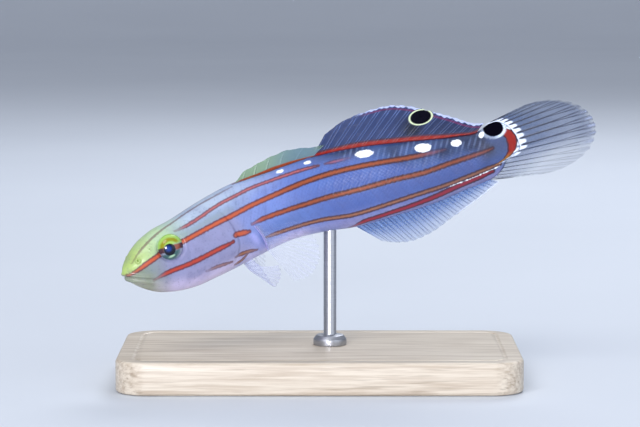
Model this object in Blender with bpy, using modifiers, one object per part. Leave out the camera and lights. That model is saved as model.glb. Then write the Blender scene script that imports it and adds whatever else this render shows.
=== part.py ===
"""Rainford's goby, a life-size display model: the fish swims over a small base, held by one rod.

Lengths are written in millimetres and become metres in the meshes. The fish faces -X, its left
flank faces -Y and +Z is up. The origin is the middle of the base's underside.
"""

import math

import bmesh
import bpy
import numpy as np
from mathutils import Matrix, Vector

MM = 0.001
GAP = 0.3

# Body, measured along its axis from the tip of the snout
STANDARD_LENGTH = 66.0
SNOUT = Vector((-29.7, -12.6, 18.0))
SKULL_END = 18.5
HEAD_YAW = math.radians(30.0)
HEAD_PITCH = math.radians(21.4)
NECK_END = 42.0
BODY_YAW = math.radians(-3.0)
BODY_PITCH = math.radians(14.0)
PITCH_END = 40.0
AXIS_STEP = 0.25
NOSE_ROUNDING = 5.0
SECTION_FULLNESS = 0.93

# Places along the body where its parts meet
GILL_SIDE = 17.8
GILL_BACK = 15.0
GILL_BELLY = 12.6
GILL_HOLLOW = 2.2
GILL_PROUD = 0.28
GILL_FLARE = 4.0
VENT = 38.6
TAIL_EDGE = 63.2
TAIL_BULGE = 3.8
CORE_LEVEL = -1.6
RING_POINTS = 36

# Eyes
EYE_PLACE = 7.75
EYE_LEVEL = 1.1
EYE_OUT = 2.15
EYE_RADIUS = 2.08
EYE_DEPTH = 1.5
EYE_LIFT = math.radians(14.0)
EYE_FORWARD = math.radians(8.0)
EYE_RIM = 0.24

# Mouth and nostrils
MOUTH_FRONT = 0.08
MOUTH_CORNER = 3.7
MOUTH_LEVEL = -0.55
MOUTH_SLOPE = -0.52
LIP_RADIUS = 0.4
LIP_SUNK = 0.93
LIP_INSET = 0.12
JAW_HINGE = 6.6
NOSTRILS = ((2.3, 1.3, 0.32), (4.6, 2.3, 0.26))

# Fins
RAY_THICK = 0.85
MEMBRANE_THICK = 0.5
EDGE_THICK = 0.3
FIN_WAVE = 0.5
FIRST_DORSAL = (21.6, 33.4)
FIRST_DORSAL_SPINES = 6
FIRST_DORSAL_LEAN = 1.3
SECOND_DORSAL = (35.1, 60.6)
SECOND_DORSAL_RAYS = 17
ANAL = (38.9, 60.8)
ANAL_TIPS = (42.6, 62.6)
ANAL_RAYS = 17
CAUDAL_RAYS = 17
CAUDAL_LEVEL = -0.95
CAUDAL_TIP = 79.1
CAUDAL_MIDDLE = 70.8
CAUDAL_HALF_HEIGHT = 5.6
CAUDAL_SPREAD = math.radians(100.0)
CAUDAL_SWEEP = 1.6
PECTORAL_RAYS = 15
PECTORAL_TOP = (21.2, -1.4)
PECTORAL_FOOT = (22.9, -5.9)
PECTORAL_THICK = 1.0
PECTORAL_OFFSET = 0.72
PECTORAL_SWEEP = (math.radians(-8.0), math.radians(-76.0))
PECTORAL_SPLAY = (math.radians(60.0), math.radians(38.0))
PELVIC_RAYS = 12
PELVIC_PLACE = 19.6
PELVIC_HALF_WIDTH = 1.5
PELVIC_LENGTH = 6.2
PELVIC_HANG = math.radians(-58.0)
PELVIC_SPREAD = math.radians(34.0)

# Stand
BASE_LENGTH = 62.0
BASE_DEPTH = 34.0
BASE_HEIGHT = 5.0
BASE_CORNER = 5.0
BASE_EDGE = 0.8
ROD_PLACE = 35.0
ROD_RADIUS = 1.0
COLLAR_RADIUS = 2.6
COLLAR_HEIGHT = 1.6


class Profile:
    """A smooth curve through a few (place, size) pairs."""

    def __init__(self, *pairs):
        self.places = np.array([pair[0] for pair in pairs], float)
        self.sizes = np.array([pair[1] for pair in pairs], float)
        self.slopes = np.gradient(self.sizes, self.places)

    def __call__(self, place):
        place = min(max(place, self.places[0]), self.places[-1])
        last = len(self.places) - 2
        i = min(int(np.searchsorted(self.places, place, side="right")) - 1, last)
        span = self.places[i + 1] - self.places[i]
        t = (place - self.places[i]) / span
        rise = t * t * (3 - 2 * t)
        bend_in = t * (1 - t) ** 2 * self.slopes[i]
        bend_out = t * t * (t - 1) * self.slopes[i + 1]
        step = self.sizes[i + 1] - self.sizes[i]
        return float(self.sizes[i] + rise * step + span * (bend_in + bend_out))


# Heights above the axis, half widths, and the level at which the body is widest
BACK = Profile((0, 2.2), (4, 3.4), (7, 4.1), (10, 4.2), (16, 4.8), (21, 5.05), (28, 4.65),
               (35, 4.65), (42, 4.4), (50, 3.4), (58, 2.3), (61, 2.15), (63.4, 3.0), (68, 3.4))
BELLY = Profile((0, -3.3), (2, -4.1), (4, -5.0), (7, -6.2), (10, -6.9), (14, -7.1), (21, -7.1),
                (29, -6.85), (34, -7.2), (39, -7.75), (46, -7.5), (52, -7.1), (58, -6.1),
                (64, -5.3), (68, -5.0))
HALF_WIDTH = Profile((0, 2.0), (4, 2.9), (7, 3.35), (11, 3.75), (17, 4.1), (22, 4.0), (30, 3.75),
                     (38, 3.45), (46, 3.0), (54, 2.3), (60, 1.55), (64, 1.0), (67, 0.7))
WIDEST = Profile((0, -0.3), (5, -0.7), (10, -1.6), (25, -1.7), (40, -1.6), (60, -1.8), (67, -1.6))

# Fin outlines: height over the body against place, and fin ray lengths against place in the fan
FIRST_DORSAL_HEIGHT = Profile((21, 0.35), (25, 1.0), (29, 1.7), (32.5, 1.85), (35, 1.4))
SECOND_DORSAL_HEIGHT = Profile((37.8, 2.35), (40.8, 3.65), (43.5, 4.85), (46, 5.3), (49, 5.55), (52, 5.0),
                               (56, 3.5), (60.3, 1.5), (62.4, 0.5))
SECOND_DORSAL_LEAN = Profile((35, 2.8), (38.2, 5.4), (41.4, 6.1), (46, 6.0), (53, 4.6), (58, 2.9),
                             (60.6, 1.8))
ANAL_HEIGHT = Profile((42.6, 3.2), (44.6, 4.1), (47, 4.65), (50, 4.4), (54, 3.3), (59, 2.1), (62.6, 0.8))
PECTORAL_LENGTH = Profile((0, 6.9), (0.35, 8.8), (0.7, 7.9), (1, 5.4))


def mix(first, second, share):
    return first * (1 - share) + second * share


def ease(share):
    share = min(max(share, 0.0), 1.0)
    return share * share * (3 - 2 * share)


def heading(place):
    """Yaw and pitch of the body's axis: the skull is straight, the trunk bends behind it."""
    straighten = ease((place - SKULL_END) / (NECK_END - SKULL_END))
    sweep = ease((place - NECK_END) / (STANDARD_LENGTH - NECK_END))
    yaw = HEAD_YAW * (1 - straighten) + BODY_YAW * sweep
    pitch = mix(HEAD_PITCH, BODY_PITCH, ease((place - SKULL_END) / (PITCH_END - SKULL_END)))
    return yaw, pitch


def frame_vectors(place):
    """Unit vectors along the body (tailwards), to its left and up."""
    yaw, pitch = heading(place)
    along = Vector((math.cos(pitch) * math.cos(yaw), math.cos(pitch) * math.sin(yaw), math.sin(pitch)))
    left = Vector((math.sin(yaw), -math.cos(yaw), 0.0))
    return along, left, left.cross(along)


def axis_points():
    points = [SNOUT.copy()]
    steps = int((CAUDAL_TIP + 4) / AXIS_STEP)
    for i in range(steps):
        along = frame_vectors((i + 0.5) * AXIS_STEP)[0]
        points.append(points[-1] + along * AXIS_STEP)
    return points


AXIS = axis_points()


def body_point(place, aside, level):
    """A point at a distance along the body, to its left and above its axis."""
    step = max(place, 0.0) / AXIS_STEP
    i = min(int(step), len(AXIS) - 2)
    centre = AXIS[i].lerp(AXIS[i + 1], step - i)
    along, left, up = frame_vectors(place)
    return centre + along * min(place, 0.0) + left * aside + up * level


def section(place):
    """Top, bottom, half width and widest level of the body's section, closing in on the snout."""
    start = 1 - min(max(place, 0.0) / NOSE_ROUNDING, 1.0)
    closing = math.sqrt(1 - start * start)
    return [profile(place) * closing for profile in (BACK, BELLY, HALF_WIDTH, WIDEST)]


def powered(value, power):
    return math.copysign(abs(value) ** power, value)


def skin_offsets(place, angle, grow=0.0):
    """Distance aside and level of the surface; the angle runs from the back over the left flank."""
    top, bottom, half_width, widest = section(place)
    lift = powered(math.cos(angle), SECTION_FULLNESS)
    reach = top - widest if lift > 0 else widest - bottom
    aside = powered(math.sin(angle), SECTION_FULLNESS) * (half_width + grow)
    return aside, widest + lift * (reach + grow)


def skin_point(place, angle, grow=0.0):
    return body_point(place, *skin_offsets(place, angle, grow))


def angle_at_level(place, level):
    """Angle, on the left flank, at which the surface has the given level."""
    top, bottom, _, widest = section(place)
    reach = top - widest if level > widest else widest - bottom
    lift = min(max((level - widest) / reach, -1.0), 1.0)
    return math.acos(powered(lift, 1 / SECTION_FULLNESS))


def half_width_at_level(place, level):
    return abs(skin_offsets(place, angle_at_level(place, level))[0])


def gill_seam(angle):
    """Place of the gill cover's rear edge: furthest back on the flanks."""
    upright = GILL_BACK if math.cos(angle) > 0 else GILL_BELLY
    return mix(upright, GILL_SIDE, abs(math.sin(angle)) ** 1.3)


def tail_seam(angle):
    """Place of the tail fin's base, an arc that bulges tailwards."""
    return TAIL_EDGE + TAIL_BULGE * abs(math.sin(angle))


def ring(place_at, grow_at=lambda angle: 0.0):
    """One closed row of points round the body."""
    angles = [2 * math.pi * i / RING_POINTS for i in range(RING_POINTS)]
    return [skin_point(place_at(angle), angle, grow_at(angle)) for angle in angles]


def capped(rows, front_centre, rear_centre, cap_rows=2):
    """Adds narrowing rows at both ends, so that each end closes on its centre point."""
    front = []
    rear = []
    for i in range(1, cap_rows + 1):
        share = i / (cap_rows + 1)
        rear.append([point.lerp(rear_centre, share) for point in rows[-1]])
        if front_centre is not None:
            front.insert(0, [point.lerp(front_centre, share) for point in rows[0]])
    return front + rows + rear


def collection(name):
    made = bpy.data.collections.new(name)
    bpy.context.scene.collection.children.link(made)
    return made


def finish_material(name, colour, roughness, metallic=0.0):
    material = bpy.data.materials.new(name)
    material.use_nodes = True
    shader = material.node_tree.nodes["Principled BSDF"]
    shader.inputs["Base Color"].default_value = (*colour, 1.0)
    shader.inputs["Roughness"].default_value = roughness
    shader.inputs["Metallic"].default_value = metallic
    material.diffuse_color = (*colour, 1.0)
    return material


def mesh_object(name, mesh_maker, home, material=None):
    """Makes an object from a bmesh, smooth but for its sharp edges."""
    mesh = bpy.data.meshes.new(name)
    bmesh.ops.recalc_face_normals(mesh_maker, faces=mesh_maker.faces)
    mesh_maker.to_mesh(mesh)
    mesh_maker.free()
    mesh.shade_smooth()
    mesh.set_sharp_from_angle(angle=math.radians(45.0))
    made = bpy.data.objects.new(name, mesh)
    home.objects.link(made)
    if material is not None:
        mesh.materials.append(material)
    return made


def loft(name, rows, front_centre, rear_centre, home, material=None):
    """A closed skin over rows of points, drawn to a point at each end."""
    maker = bmesh.new()
    grid = [[maker.verts.new(point * MM) for point in row] for row in rows]
    for low, high in zip(grid[:-1], grid[1:]):
        for i in range(len(low)):
            j = (i + 1) % len(low)
            maker.faces.new((low[i], low[j], high[j], high[i]))
    for row, centre in ((grid[0], front_centre), (grid[-1], rear_centre)):
        point = maker.verts.new(centre * MM)
        for i in range(len(row)):
            maker.faces.new((point, row[i], row[(i + 1) % len(row)]))
    return mesh_object(name, maker, home, material)


def settle(part):
    """Applies a part's modifiers and keeps its largest closed surface."""
    bpy.context.view_layer.update()
    evaluated = part.evaluated_get(bpy.context.evaluated_depsgraph_get())
    mesh = bpy.data.meshes.new_from_object(evaluated)
    part.modifiers.clear()
    old = part.data
    part.data = mesh
    mesh.name = old.name if part.type == "MESH" else part.name
    maker = bmesh.new()
    maker.from_mesh(mesh)
    unseen = set(maker.faces)
    surfaces = []
    while unseen:
        reached = {unseen.pop()}
        edge_faces = list(reached)
        while edge_faces:
            face = edge_faces.pop()
            near = {other for edge in face.edges for other in edge.link_faces} & unseen
            unseen -= near
            reached |= near
            edge_faces += near
        surfaces.append(reached)
    surfaces.sort(key=len)
    scraps = [face for surface in surfaces[:-1] for face in surface]
    bmesh.ops.delete(maker, geom=scraps, context="FACES")
    maker.to_mesh(mesh)
    maker.free()


def combine(part, others):
    """One Boolean union of a part with the objects of a collection of its own."""
    group = collection(f"{part.name} pieces")
    for other in others:
        for home in list(other.users_collection):
            home.objects.unlink(other)
        group.objects.link(other)
    modifier = part.modifiers.new("Join", "BOOLEAN")
    modifier.operation = "UNION"
    modifier.solver = "MANIFOLD"
    modifier.operand_type = "COLLECTION"
    modifier.collection = group
    settle(part)
    for other in others:
        bpy.data.objects.remove(other)
    bpy.data.collections.remove(group)


def cut_away(part, cutter, operation="DIFFERENCE"):
    """Cuts a part by one cutter, which stays in the cutters' collection."""
    modifier = part.modifiers.new("Cut", "BOOLEAN")
    modifier.operation = operation
    modifier.solver = "MANIFOLD"
    modifier.object = cutter
    settle(part)


def as_cutter(cutter, cutters):
    for home in list(cutter.users_collection):
        home.objects.unlink(cutter)
    cutters.objects.link(cutter)
    cutter.hide_render = True
    cutter.display_type = "WIRE"
    return cutter


def tube(name, points, radii, home):
    """A round tube along a path, made a mesh with its caps welded."""
    curve = bpy.data.curves.new(name, "CURVE")
    curve.dimensions = "3D"
    curve.bevel_depth = MM
    curve.bevel_resolution = 2
    curve.use_fill_caps = True
    spline = curve.splines.new("POLY")
    spline.points.add(len(points) - 1)
    for spot, point, radius in zip(spline.points, points, radii):
        spot.co = (*(point * MM), 1.0)
        spot.radius = radius
    guide = bpy.data.objects.new(name, curve)
    home.objects.link(guide)
    bpy.context.view_layer.update()
    evaluated = guide.evaluated_get(bpy.context.evaluated_depsgraph_get())
    maker = bmesh.new()
    flat = bpy.data.meshes.new_from_object(evaluated)
    maker.from_mesh(flat)
    bmesh.ops.remove_doubles(maker, verts=maker.verts, dist=1e-7)
    bpy.data.objects.remove(guide)
    bpy.data.meshes.remove(flat)
    return mesh_object(name, maker, home)


def turned(centre, across, up, out):
    """Placing matrix for a primitive: its X, Y and Z axes along three unit vectors."""
    axes = Matrix((across, up, out)).transposed().to_4x4()
    return Matrix.Translation(centre * MM) @ axes


def eye_frame(side):
    """Centre and axes of an eye: forwards, up and out through the pupil."""
    along, left, up = frame_vectors(EYE_PLACE)
    centre = body_point(EYE_PLACE, side * EYE_OUT, EYE_LEVEL)
    out = left * side * math.cos(EYE_LIFT) + up * math.sin(EYE_LIFT)
    out = (out * math.cos(EYE_FORWARD) - along * math.sin(EYE_FORWARD)).normalized()
    across = up.cross(out).normalized()
    return centre, across, out.cross(across), out


def eyeball(name, side, grow, home, material=None, segments=24, rings=14):
    """A flattened ball that looks sideways out of the head."""
    maker = bmesh.new()
    bmesh.ops.create_uvsphere(maker, u_segments=segments, v_segments=rings, radius=1.0)
    radius = (EYE_RADIUS + grow) * MM
    depth = (EYE_DEPTH + grow) * MM
    shape = turned(*eye_frame(side)) @ Matrix.Diagonal((radius, radius, depth, 1.0))
    bmesh.ops.transform(maker, matrix=shape, verts=maker.verts)
    return mesh_object(name, maker, home, material)


def eye_rim(side, home):
    """The raised ring of skin round an eye."""
    centre, across, up, out = eye_frame(side)
    bpy.ops.mesh.primitive_torus_add(major_segments=28, minor_segments=8,
                                     major_radius=EYE_RADIUS * MM, minor_radius=EYE_RIM * MM)
    rim = bpy.context.object
    rim.name = f"eye rim {side}"
    depth = half_width_at_level(EYE_PLACE, EYE_LEVEL) - EYE_OUT
    rim.data.transform(turned(centre + out * depth, across, up, out))
    for owner in list(rim.users_collection):
        owner.objects.unlink(rim)
    home.objects.link(rim)
    return rim


def mouth_level(place):
    return MOUTH_LEVEL + MOUTH_SLOPE * place


def lip(name, lift, home):
    """A tapering roll of flesh along one side of the mouth's line, from corner to corner."""
    points = []
    radii = []
    steps = 16
    for i in range(steps + 1):
        across = 2 * i / steps - 1
        place = mix(MOUTH_FRONT, MOUTH_CORNER, across * across)
        level = mouth_level(place)
        aside = math.copysign(half_width_at_level(place, level) * LIP_SUNK, across)
        points.append(body_point(place + LIP_INSET, aside, level + lift))
        radii.append(LIP_RADIUS * (1 - 0.45 * across ** 2))
    return tube(name, points, radii, home)


def jaw_wedge(name, shift, home):
    """The space below the mouth's line and ahead of the jaw's hinge, moved up or down a little."""
    outline = ((-4.0, mouth_level(-4.0)), (MOUTH_CORNER, mouth_level(MOUTH_CORNER)),
               (JAW_HINGE, -8.5), (-4.0, -12.0))
    maker = bmesh.new()
    sides = []
    for aside in (-6.0, 6.0):
        sides.append([maker.verts.new(body_point(place + shift, aside, level + shift) * MM)
                      for place, level in outline])
    right, left = sides
    maker.faces.new(right)
    maker.faces.new(left[::-1])
    for i in range(len(outline)):
        j = (i + 1) % len(outline)
        maker.faces.new((right[i], left[i], left[j], right[j]))
    return mesh_object(name, maker, home)


def nostril(name, place, level, radius, length, side, home, sink=0.0):
    """A short tube, or the hole in it, standing on the snout."""
    angle = side * angle_at_level(place, level)
    root = skin_point(place, angle)
    out = (skin_point(place, angle, 1.0) - root).normalized()
    along = frame_vectors(place)[0]
    across = along.cross(out).normalized()
    maker = bmesh.new()
    bmesh.ops.create_cone(maker, cap_ends=True, segments=12, radius1=radius * MM,
                          radius2=radius * 0.8 * MM, depth=length * MM)
    shape = turned(root + out * sink, across, out.cross(across), out)
    bmesh.ops.transform(maker, matrix=shape, verts=maker.verts)
    return mesh_object(name, maker, home)


def make_head(parts, cutters, skin, jaw_skin):
    """Head and lower jaw: one shape, parted along the mouth, with lips, eye sockets and nostrils."""
    rows = []
    steps = 26
    for i in range(1, steps + 1):
        share = (i / steps) ** 1.6
        flare = ease((share * GILL_SIDE - (GILL_SIDE - GILL_FLARE)) / GILL_FLARE)
        rows.append(ring(lambda angle: share * (gill_seam(angle) - GAP / 2),
                         lambda angle: GILL_PROUD * flare * math.sin(angle) ** 2))
    front = body_point(0.0, 0.0, 0.0)
    rear = body_point(GILL_SIDE - GILL_HOLLOW - GAP / 2, 0.0, CORE_LEVEL)
    rows = capped(rows, None, rear)
    head = loft("head", rows, front, rear, parts, skin)
    jaw = loft("lower_jaw", rows, front, rear, parts, jaw_skin)
    fused = [lip("upper lip", LIP_RADIUS * 0.75, parts)]
    for side in (1, -1):
        fused.append(eye_rim(side, parts))
        place, level, radius = NOSTRILS[0]
        fused.append(nostril(f"nostril tube {side}", place, level, radius, 0.8, side, parts))
    combine(head, fused)
    combine(jaw, [lip("lower lip", -LIP_RADIUS * 0.75, parts)])
    holes = [as_cutter(jaw_wedge("mouth cut", GAP / 2, parts), cutters)]
    for side in (1, -1):
        holes.append(as_cutter(eyeball(f"eye socket {side}", side, GAP, parts), cutters))
        for i, (place, level, radius) in enumerate(NOSTRILS):
            pit = nostril(f"nostril pit {i} {side}", place, level, radius * 0.55, 1.2, side, parts, 0.15)
            holes.append(as_cutter(pit, cutters))
    for hole in holes:
        cut_away(head, hole)
    wedge = as_cutter(jaw_wedge("jaw limit", -GAP / 2, parts), cutters)
    cut_away(jaw, wedge, "INTERSECT")


def make_trunk(parts, skin):
    """From the gill opening to the vent."""
    rows = []
    steps = 14
    for i in range(steps + 1):
        share = i / steps
        rows.append(ring(lambda angle: mix(gill_seam(angle) + GAP / 2, VENT - GAP / 2, share)))
    front = body_point(GILL_SIDE - GILL_HOLLOW + GAP / 2, 0.0, CORE_LEVEL)
    rear = body_point(VENT - GAP / 2, 0.0, CORE_LEVEL)
    rows = capped(rows, front, rear)
    return loft("trunk", rows, front, rear, parts, skin)


def make_tail(parts, skin):
    """From the vent to the tail fin, closing to a thin upright edge."""
    rows = []
    steps = 17
    for i in range(steps + 1):
        share = i / steps
        rows.append(ring(lambda angle: mix(VENT + GAP / 2, tail_seam(angle), share)))
    front = body_point(VENT + GAP / 2, 0.0, CORE_LEVEL)
    rear = body_point(TAIL_EDGE + TAIL_BULGE, 0.0, CORE_LEVEL)
    rows = capped(rows, front, rear)
    return loft("tail", rows, front, rear, parts, skin)


def webbed(rays):
    """Fills the gaps between rays with two membrane columns each, drawn in a little at the edge."""
    columns = []
    for i, ray in enumerate(rays):
        columns.append((ray, True))
        if i + 1 == len(rays):
            break
        following = rays[i + 1]
        for share in (1 / 3, 2 / 3):
            column = []
            for j in range(len(ray)):
                point = ray[j].lerp(following[j], share)
                column.append(point)
            column[-1] = column[-1].lerp(column[-2], 0.18)
            columns.append((column, False))
    return columns


def fin(name, rays, home, material, root_thick=None):
    """A closed fin: rays stand up as ridges in the membrane, and both faces are split alike."""
    columns = webbed(rays)
    grid = [points for points, _ in columns]
    wide = len(grid)
    tall = len(grid[0])
    maker = bmesh.new()
    faces = []
    for face in (1, -1):
        sheet = []
        for i, (points, is_ray) in enumerate(columns):
            row = []
            for j, point in enumerate(points):
                across = grid[min(i + 1, wide - 1)][j] - grid[max(i - 1, 0)][j]
                outwards = points[min(j + 1, tall - 1)] - points[max(j - 1, 0)]
                normal = across.cross(outwards).normalized()
                share = j / (tall - 1)
                thick = mix(RAY_THICK if is_ray else MEMBRANE_THICK, EDGE_THICK, share ** 2)
                if root_thick is not None:
                    thick = max(thick, mix(root_thick, 0.0, share * 2.5))
                row.append(maker.verts.new((point + normal * (face * thick / 2)) * MM))
            sheet.append(row)
        faces.append(sheet)
    for i in range(wide - 1):
        for j in range(tall - 1):
            for sheet in faces:
                a, b, c, d = sheet[i][j], sheet[i + 1][j], sheet[i + 1][j + 1], sheet[i][j + 1]
                maker.faces.new((a, b, c))
                maker.faces.new((a, c, d))
    front, back = faces
    rim = [(i, 0) for i in range(wide)]
    rim += [(wide - 1, j) for j in range(1, tall)]
    rim += [(i, tall - 1) for i in range(wide - 2, -1, -1)]
    rim += [(0, j) for j in range(tall - 2, 0, -1)]
    for (i, j), (k, m) in zip(rim, rim[1:] + rim[:1]):
        maker.faces.new((front[i][j], front[k][m], back[k][m]))
        maker.faces.new((front[i][j], back[k][m], back[i][j]))
    return mesh_object(name, maker, home, material)


def straight_ray(root, tip, rows, wave):
    """Points from root to tip in the body's own frame, swaying aside towards the tip."""
    points = []
    for j in range(rows + 1):
        share = j / rows
        place = mix(root[0], tip[0], share)
        level = mix(root[1], tip[1], share)
        points.append(body_point(place, wave * share * share, level))
    return points


def make_first_dorsal(parts, web):
    """Six spines folded low along the back."""
    rays = []
    for i in range(FIRST_DORSAL_SPINES + 1):
        place = mix(*FIRST_DORSAL, i / FIRST_DORSAL_SPINES)
        tip_place = place + FIRST_DORSAL_LEAN
        root = (place, BACK(place) + GAP)
        tip = (tip_place, BACK(tip_place) + GAP + FIRST_DORSAL_HEIGHT(tip_place))
        rays.append(straight_ray(root, tip, 3, 0.0))
    return fin("first_dorsal_fin", rays, parts, web)


def make_second_dorsal(parts, web):
    """One spine and sixteen soft rays that lean back."""
    rays = []
    for i in range(SECOND_DORSAL_RAYS):
        share = i / (SECOND_DORSAL_RAYS - 1)
        place = mix(*SECOND_DORSAL, share)
        tip_place = place + SECOND_DORSAL_LEAN(place)
        root = (place, BACK(place) + GAP)
        tip = (tip_place, BACK(tip_place) + SECOND_DORSAL_HEIGHT(tip_place))
        rays.append(straight_ray(root, tip, 5, FIN_WAVE * math.sin(math.pi * share)))
    return fin("second_dorsal_fin", rays, parts, web)


def make_anal(parts, web):
    """One spine and sixteen soft rays below the tail, swept back."""
    rays = []
    for i in range(ANAL_RAYS):
        share = i / (ANAL_RAYS - 1)
        place = mix(*ANAL, share)
        tip_place = mix(*ANAL_TIPS, share)
        root = (place, BELLY(place) - GAP)
        tip = (tip_place, BELLY(tip_place) - ANAL_HEIGHT(tip_place))
        rays.append(straight_ray(root, tip, 4, -FIN_WAVE * math.sin(math.pi * share)))
    return fin("anal_fin", rays, parts, web)


def make_caudal(parts, web):
    """A long rounded fan on the tail's arched end."""
    rays = []
    for i in range(CAUDAL_RAYS):
        spread = 1 - 2 * i / (CAUDAL_RAYS - 1)
        angle = math.pi / 2 * (1 - spread)
        root_place = tail_seam(angle) + GAP
        root_level = skin_offsets(tail_seam(angle), angle)[1]
        turn = CAUDAL_SPREAD * spread
        reach = CAUDAL_TIP - CAUDAL_MIDDLE
        tip_place = CAUDAL_MIDDLE + reach * math.cos(turn)
        tip_level = CAUDAL_LEVEL + CAUDAL_HALF_HEIGHT * math.sin(turn)
        rays.append(straight_ray((root_place, root_level), (tip_place, tip_level), 7, CAUDAL_SWEEP))
    return fin("caudal_fin", rays, parts, web)


def make_pectoral(name, side, parts, web):
    """A fan that stands out from the flank behind the gill opening."""
    rays = []
    rows = 6
    for i in range(PECTORAL_RAYS):
        share = i / (PECTORAL_RAYS - 1)
        place = mix(PECTORAL_TOP[0], PECTORAL_FOOT[0], share)
        level = mix(PECTORAL_TOP[1], PECTORAL_FOOT[1], share)
        angle = angle_at_level(place, level) * side
        root = skin_point(place, angle, PECTORAL_OFFSET)
        along, left, up = frame_vectors(place)
        sweep = mix(*PECTORAL_SWEEP, share)
        splay = mix(*PECTORAL_SPLAY, share)
        back = along * math.cos(sweep) + up * math.sin(sweep)
        out = left * side
        length = PECTORAL_LENGTH(share)
        points = []
        for j in range(rows + 1):
            reach = length * j / rows
            bend = 0.3 * reach * j / rows
            points.append(root + back * (reach * math.cos(splay) + bend * 0.7)
                          + out * (reach * math.sin(splay) - bend * 0.6))
        rays.append(points)
    return fin(name, rays, parts, web, PECTORAL_THICK)


def make_pelvic(parts, web):
    """The two pelvic fins joined into one shallow cup below the breast."""
    rays = []
    rows = 5
    for i in range(PELVIC_RAYS):
        across = 1 - 2 * i / (PELVIC_RAYS - 1)
        place = PELVIC_PLACE + 0.5 * across * across
        half_width = section(place)[2]
        slant = math.asin(min(PELVIC_HALF_WIDTH * abs(across) / half_width, 1.0) ** (1 / SECTION_FULLNESS))
        angle = math.pi - math.copysign(slant, across)
        root = skin_point(place, angle, PECTORAL_OFFSET)
        along, left, up = frame_vectors(place)
        spread = PELVIC_SPREAD * across
        length = PELVIC_LENGTH * (1 - 0.38 * abs(across) ** 1.6)
        down = along * math.cos(PELVIC_HANG) + up * math.sin(PELVIC_HANG)
        points = []
        for j in range(rows + 1):
            reach = length * j / rows
            cup = 0.35 * reach * (j / rows) * abs(across)
            points.append(root + down * (reach * math.cos(spread)) + left * (reach * math.sin(spread))
                          + up * cup + along * cup)
        rays.append(points)
    return fin("pelvic_disc", rays, parts, web)


def make_base(parts, wood):
    """A flat rounded board."""
    bpy.ops.mesh.primitive_cube_add(size=1.0, location=(0.0, 0.0, BASE_HEIGHT / 2 * MM))
    base = bpy.context.object
    base.name = "stand_base"
    base.scale = (BASE_LENGTH * MM, BASE_DEPTH * MM, BASE_HEIGHT * MM)
    bpy.ops.object.transform_apply(location=False, rotation=False, scale=True)
    for owner in list(base.users_collection):
        owner.objects.unlink(base)
    parts.objects.link(base)
    base.data.materials.append(wood)
    maker = bmesh.new()
    maker.from_mesh(base.data)
    upright = [edge for edge in maker.edges if abs(edge.verts[0].co.z - edge.verts[1].co.z) > MM]
    bmesh.ops.bevel(maker, geom=upright, offset=BASE_CORNER * MM, segments=6, profile=0.5,
                    affect="EDGES", clamp_overlap=True)
    above = [face for face in maker.faces if face.normal.z > 0.9]
    edges = list({edge for face in above for edge in face.edges})
    bmesh.ops.bevel(maker, geom=edges, offset=BASE_EDGE * MM, segments=3, profile=0.5,
                    affect="EDGES", clamp_overlap=True)
    maker.to_mesh(base.data)
    maker.free()
    return base


def make_rod(parts, cutters, steel):
    """A slim rod with a collar at its foot, its top cut to lie along the belly."""
    belly = body_point(ROD_PLACE, 0.0, BELLY(ROD_PLACE))
    foot = BASE_HEIGHT + GAP
    outline = ((0.0, foot), (COLLAR_RADIUS, foot), (COLLAR_RADIUS, foot + COLLAR_HEIGHT * 0.6),
               (COLLAR_RADIUS * 0.8, foot + COLLAR_HEIGHT), (ROD_RADIUS, foot + COLLAR_HEIGHT),
               (ROD_RADIUS, belly.z + 2.0), (0.0, belly.z + 2.0))
    mesh = bpy.data.meshes.new("stand_rod")
    edges = [(i, i + 1) for i in range(len(outline) - 1)]
    points = [(radius * MM, 0.0, height * MM) for radius, height in reversed(outline)]
    mesh.from_pydata(points, edges, [])
    rod = bpy.data.objects.new("stand_rod", mesh)
    rod.location = (belly.x * MM, belly.y * MM, 0.0)
    parts.objects.link(rod)
    mesh.materials.append(steel)
    screw = rod.modifiers.new("Turn", "SCREW")
    screw.steps = 24
    screw.render_steps = 24
    screw.use_merge_vertices = True
    screw.merge_threshold = 0.00001
    rows = [ring(lambda angle: place, lambda angle: GAP) for place in
            [mix(ROD_PLACE - 5, ROD_PLACE + 5, i / 8) for i in range(9)]]
    ends = [body_point(ROD_PLACE + offset, 0.0, CORE_LEVEL) for offset in (-5, 5)]
    clearance = as_cutter(loft("belly clearance", rows, *ends, parts), cutters)
    cut_away(rod, clearance)
    return rod


def main():
    for old in list(bpy.data.objects):
        bpy.data.objects.remove(old)
    parts = collection("Rainfords goby")
    cutters = collection("Cutters")
    skin = finish_material("lilac skin", (0.30, 0.31, 0.62), 0.35)
    head_skin = finish_material("yellow green head skin", (0.50, 0.53, 0.16), 0.35)
    jaw_skin = finish_material("olive jaw skin", (0.42, 0.42, 0.22), 0.35)
    web = finish_material("clear fin", (0.62, 0.62, 0.80), 0.3)
    eye = finish_material("eye", (0.02, 0.05, 0.06), 0.08)
    wood = finish_material("pale limed ash", (0.58, 0.50, 0.40), 0.4)
    steel = finish_material("brushed steel", (0.6, 0.6, 0.62), 0.3, 1.0)
    make_head(parts, cutters, head_skin, jaw_skin)
    make_trunk(parts, skin)
    make_tail(parts, skin)
    eyeball("eye_left", 1, 0.0, parts, eye)
    eyeball("eye_right", -1, 0.0, parts, eye)
    make_first_dorsal(parts, web)
    make_second_dorsal(parts, web)
    make_anal(parts, web)
    make_caudal(parts, web)
    make_pectoral("pectoral_fin_left", 1, parts, web)
    make_pectoral("pectoral_fin_right", -1, parts, web)
    make_pelvic(parts, web)
    make_base(parts, wood)
    make_rod(parts, cutters, steel)


main()
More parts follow.
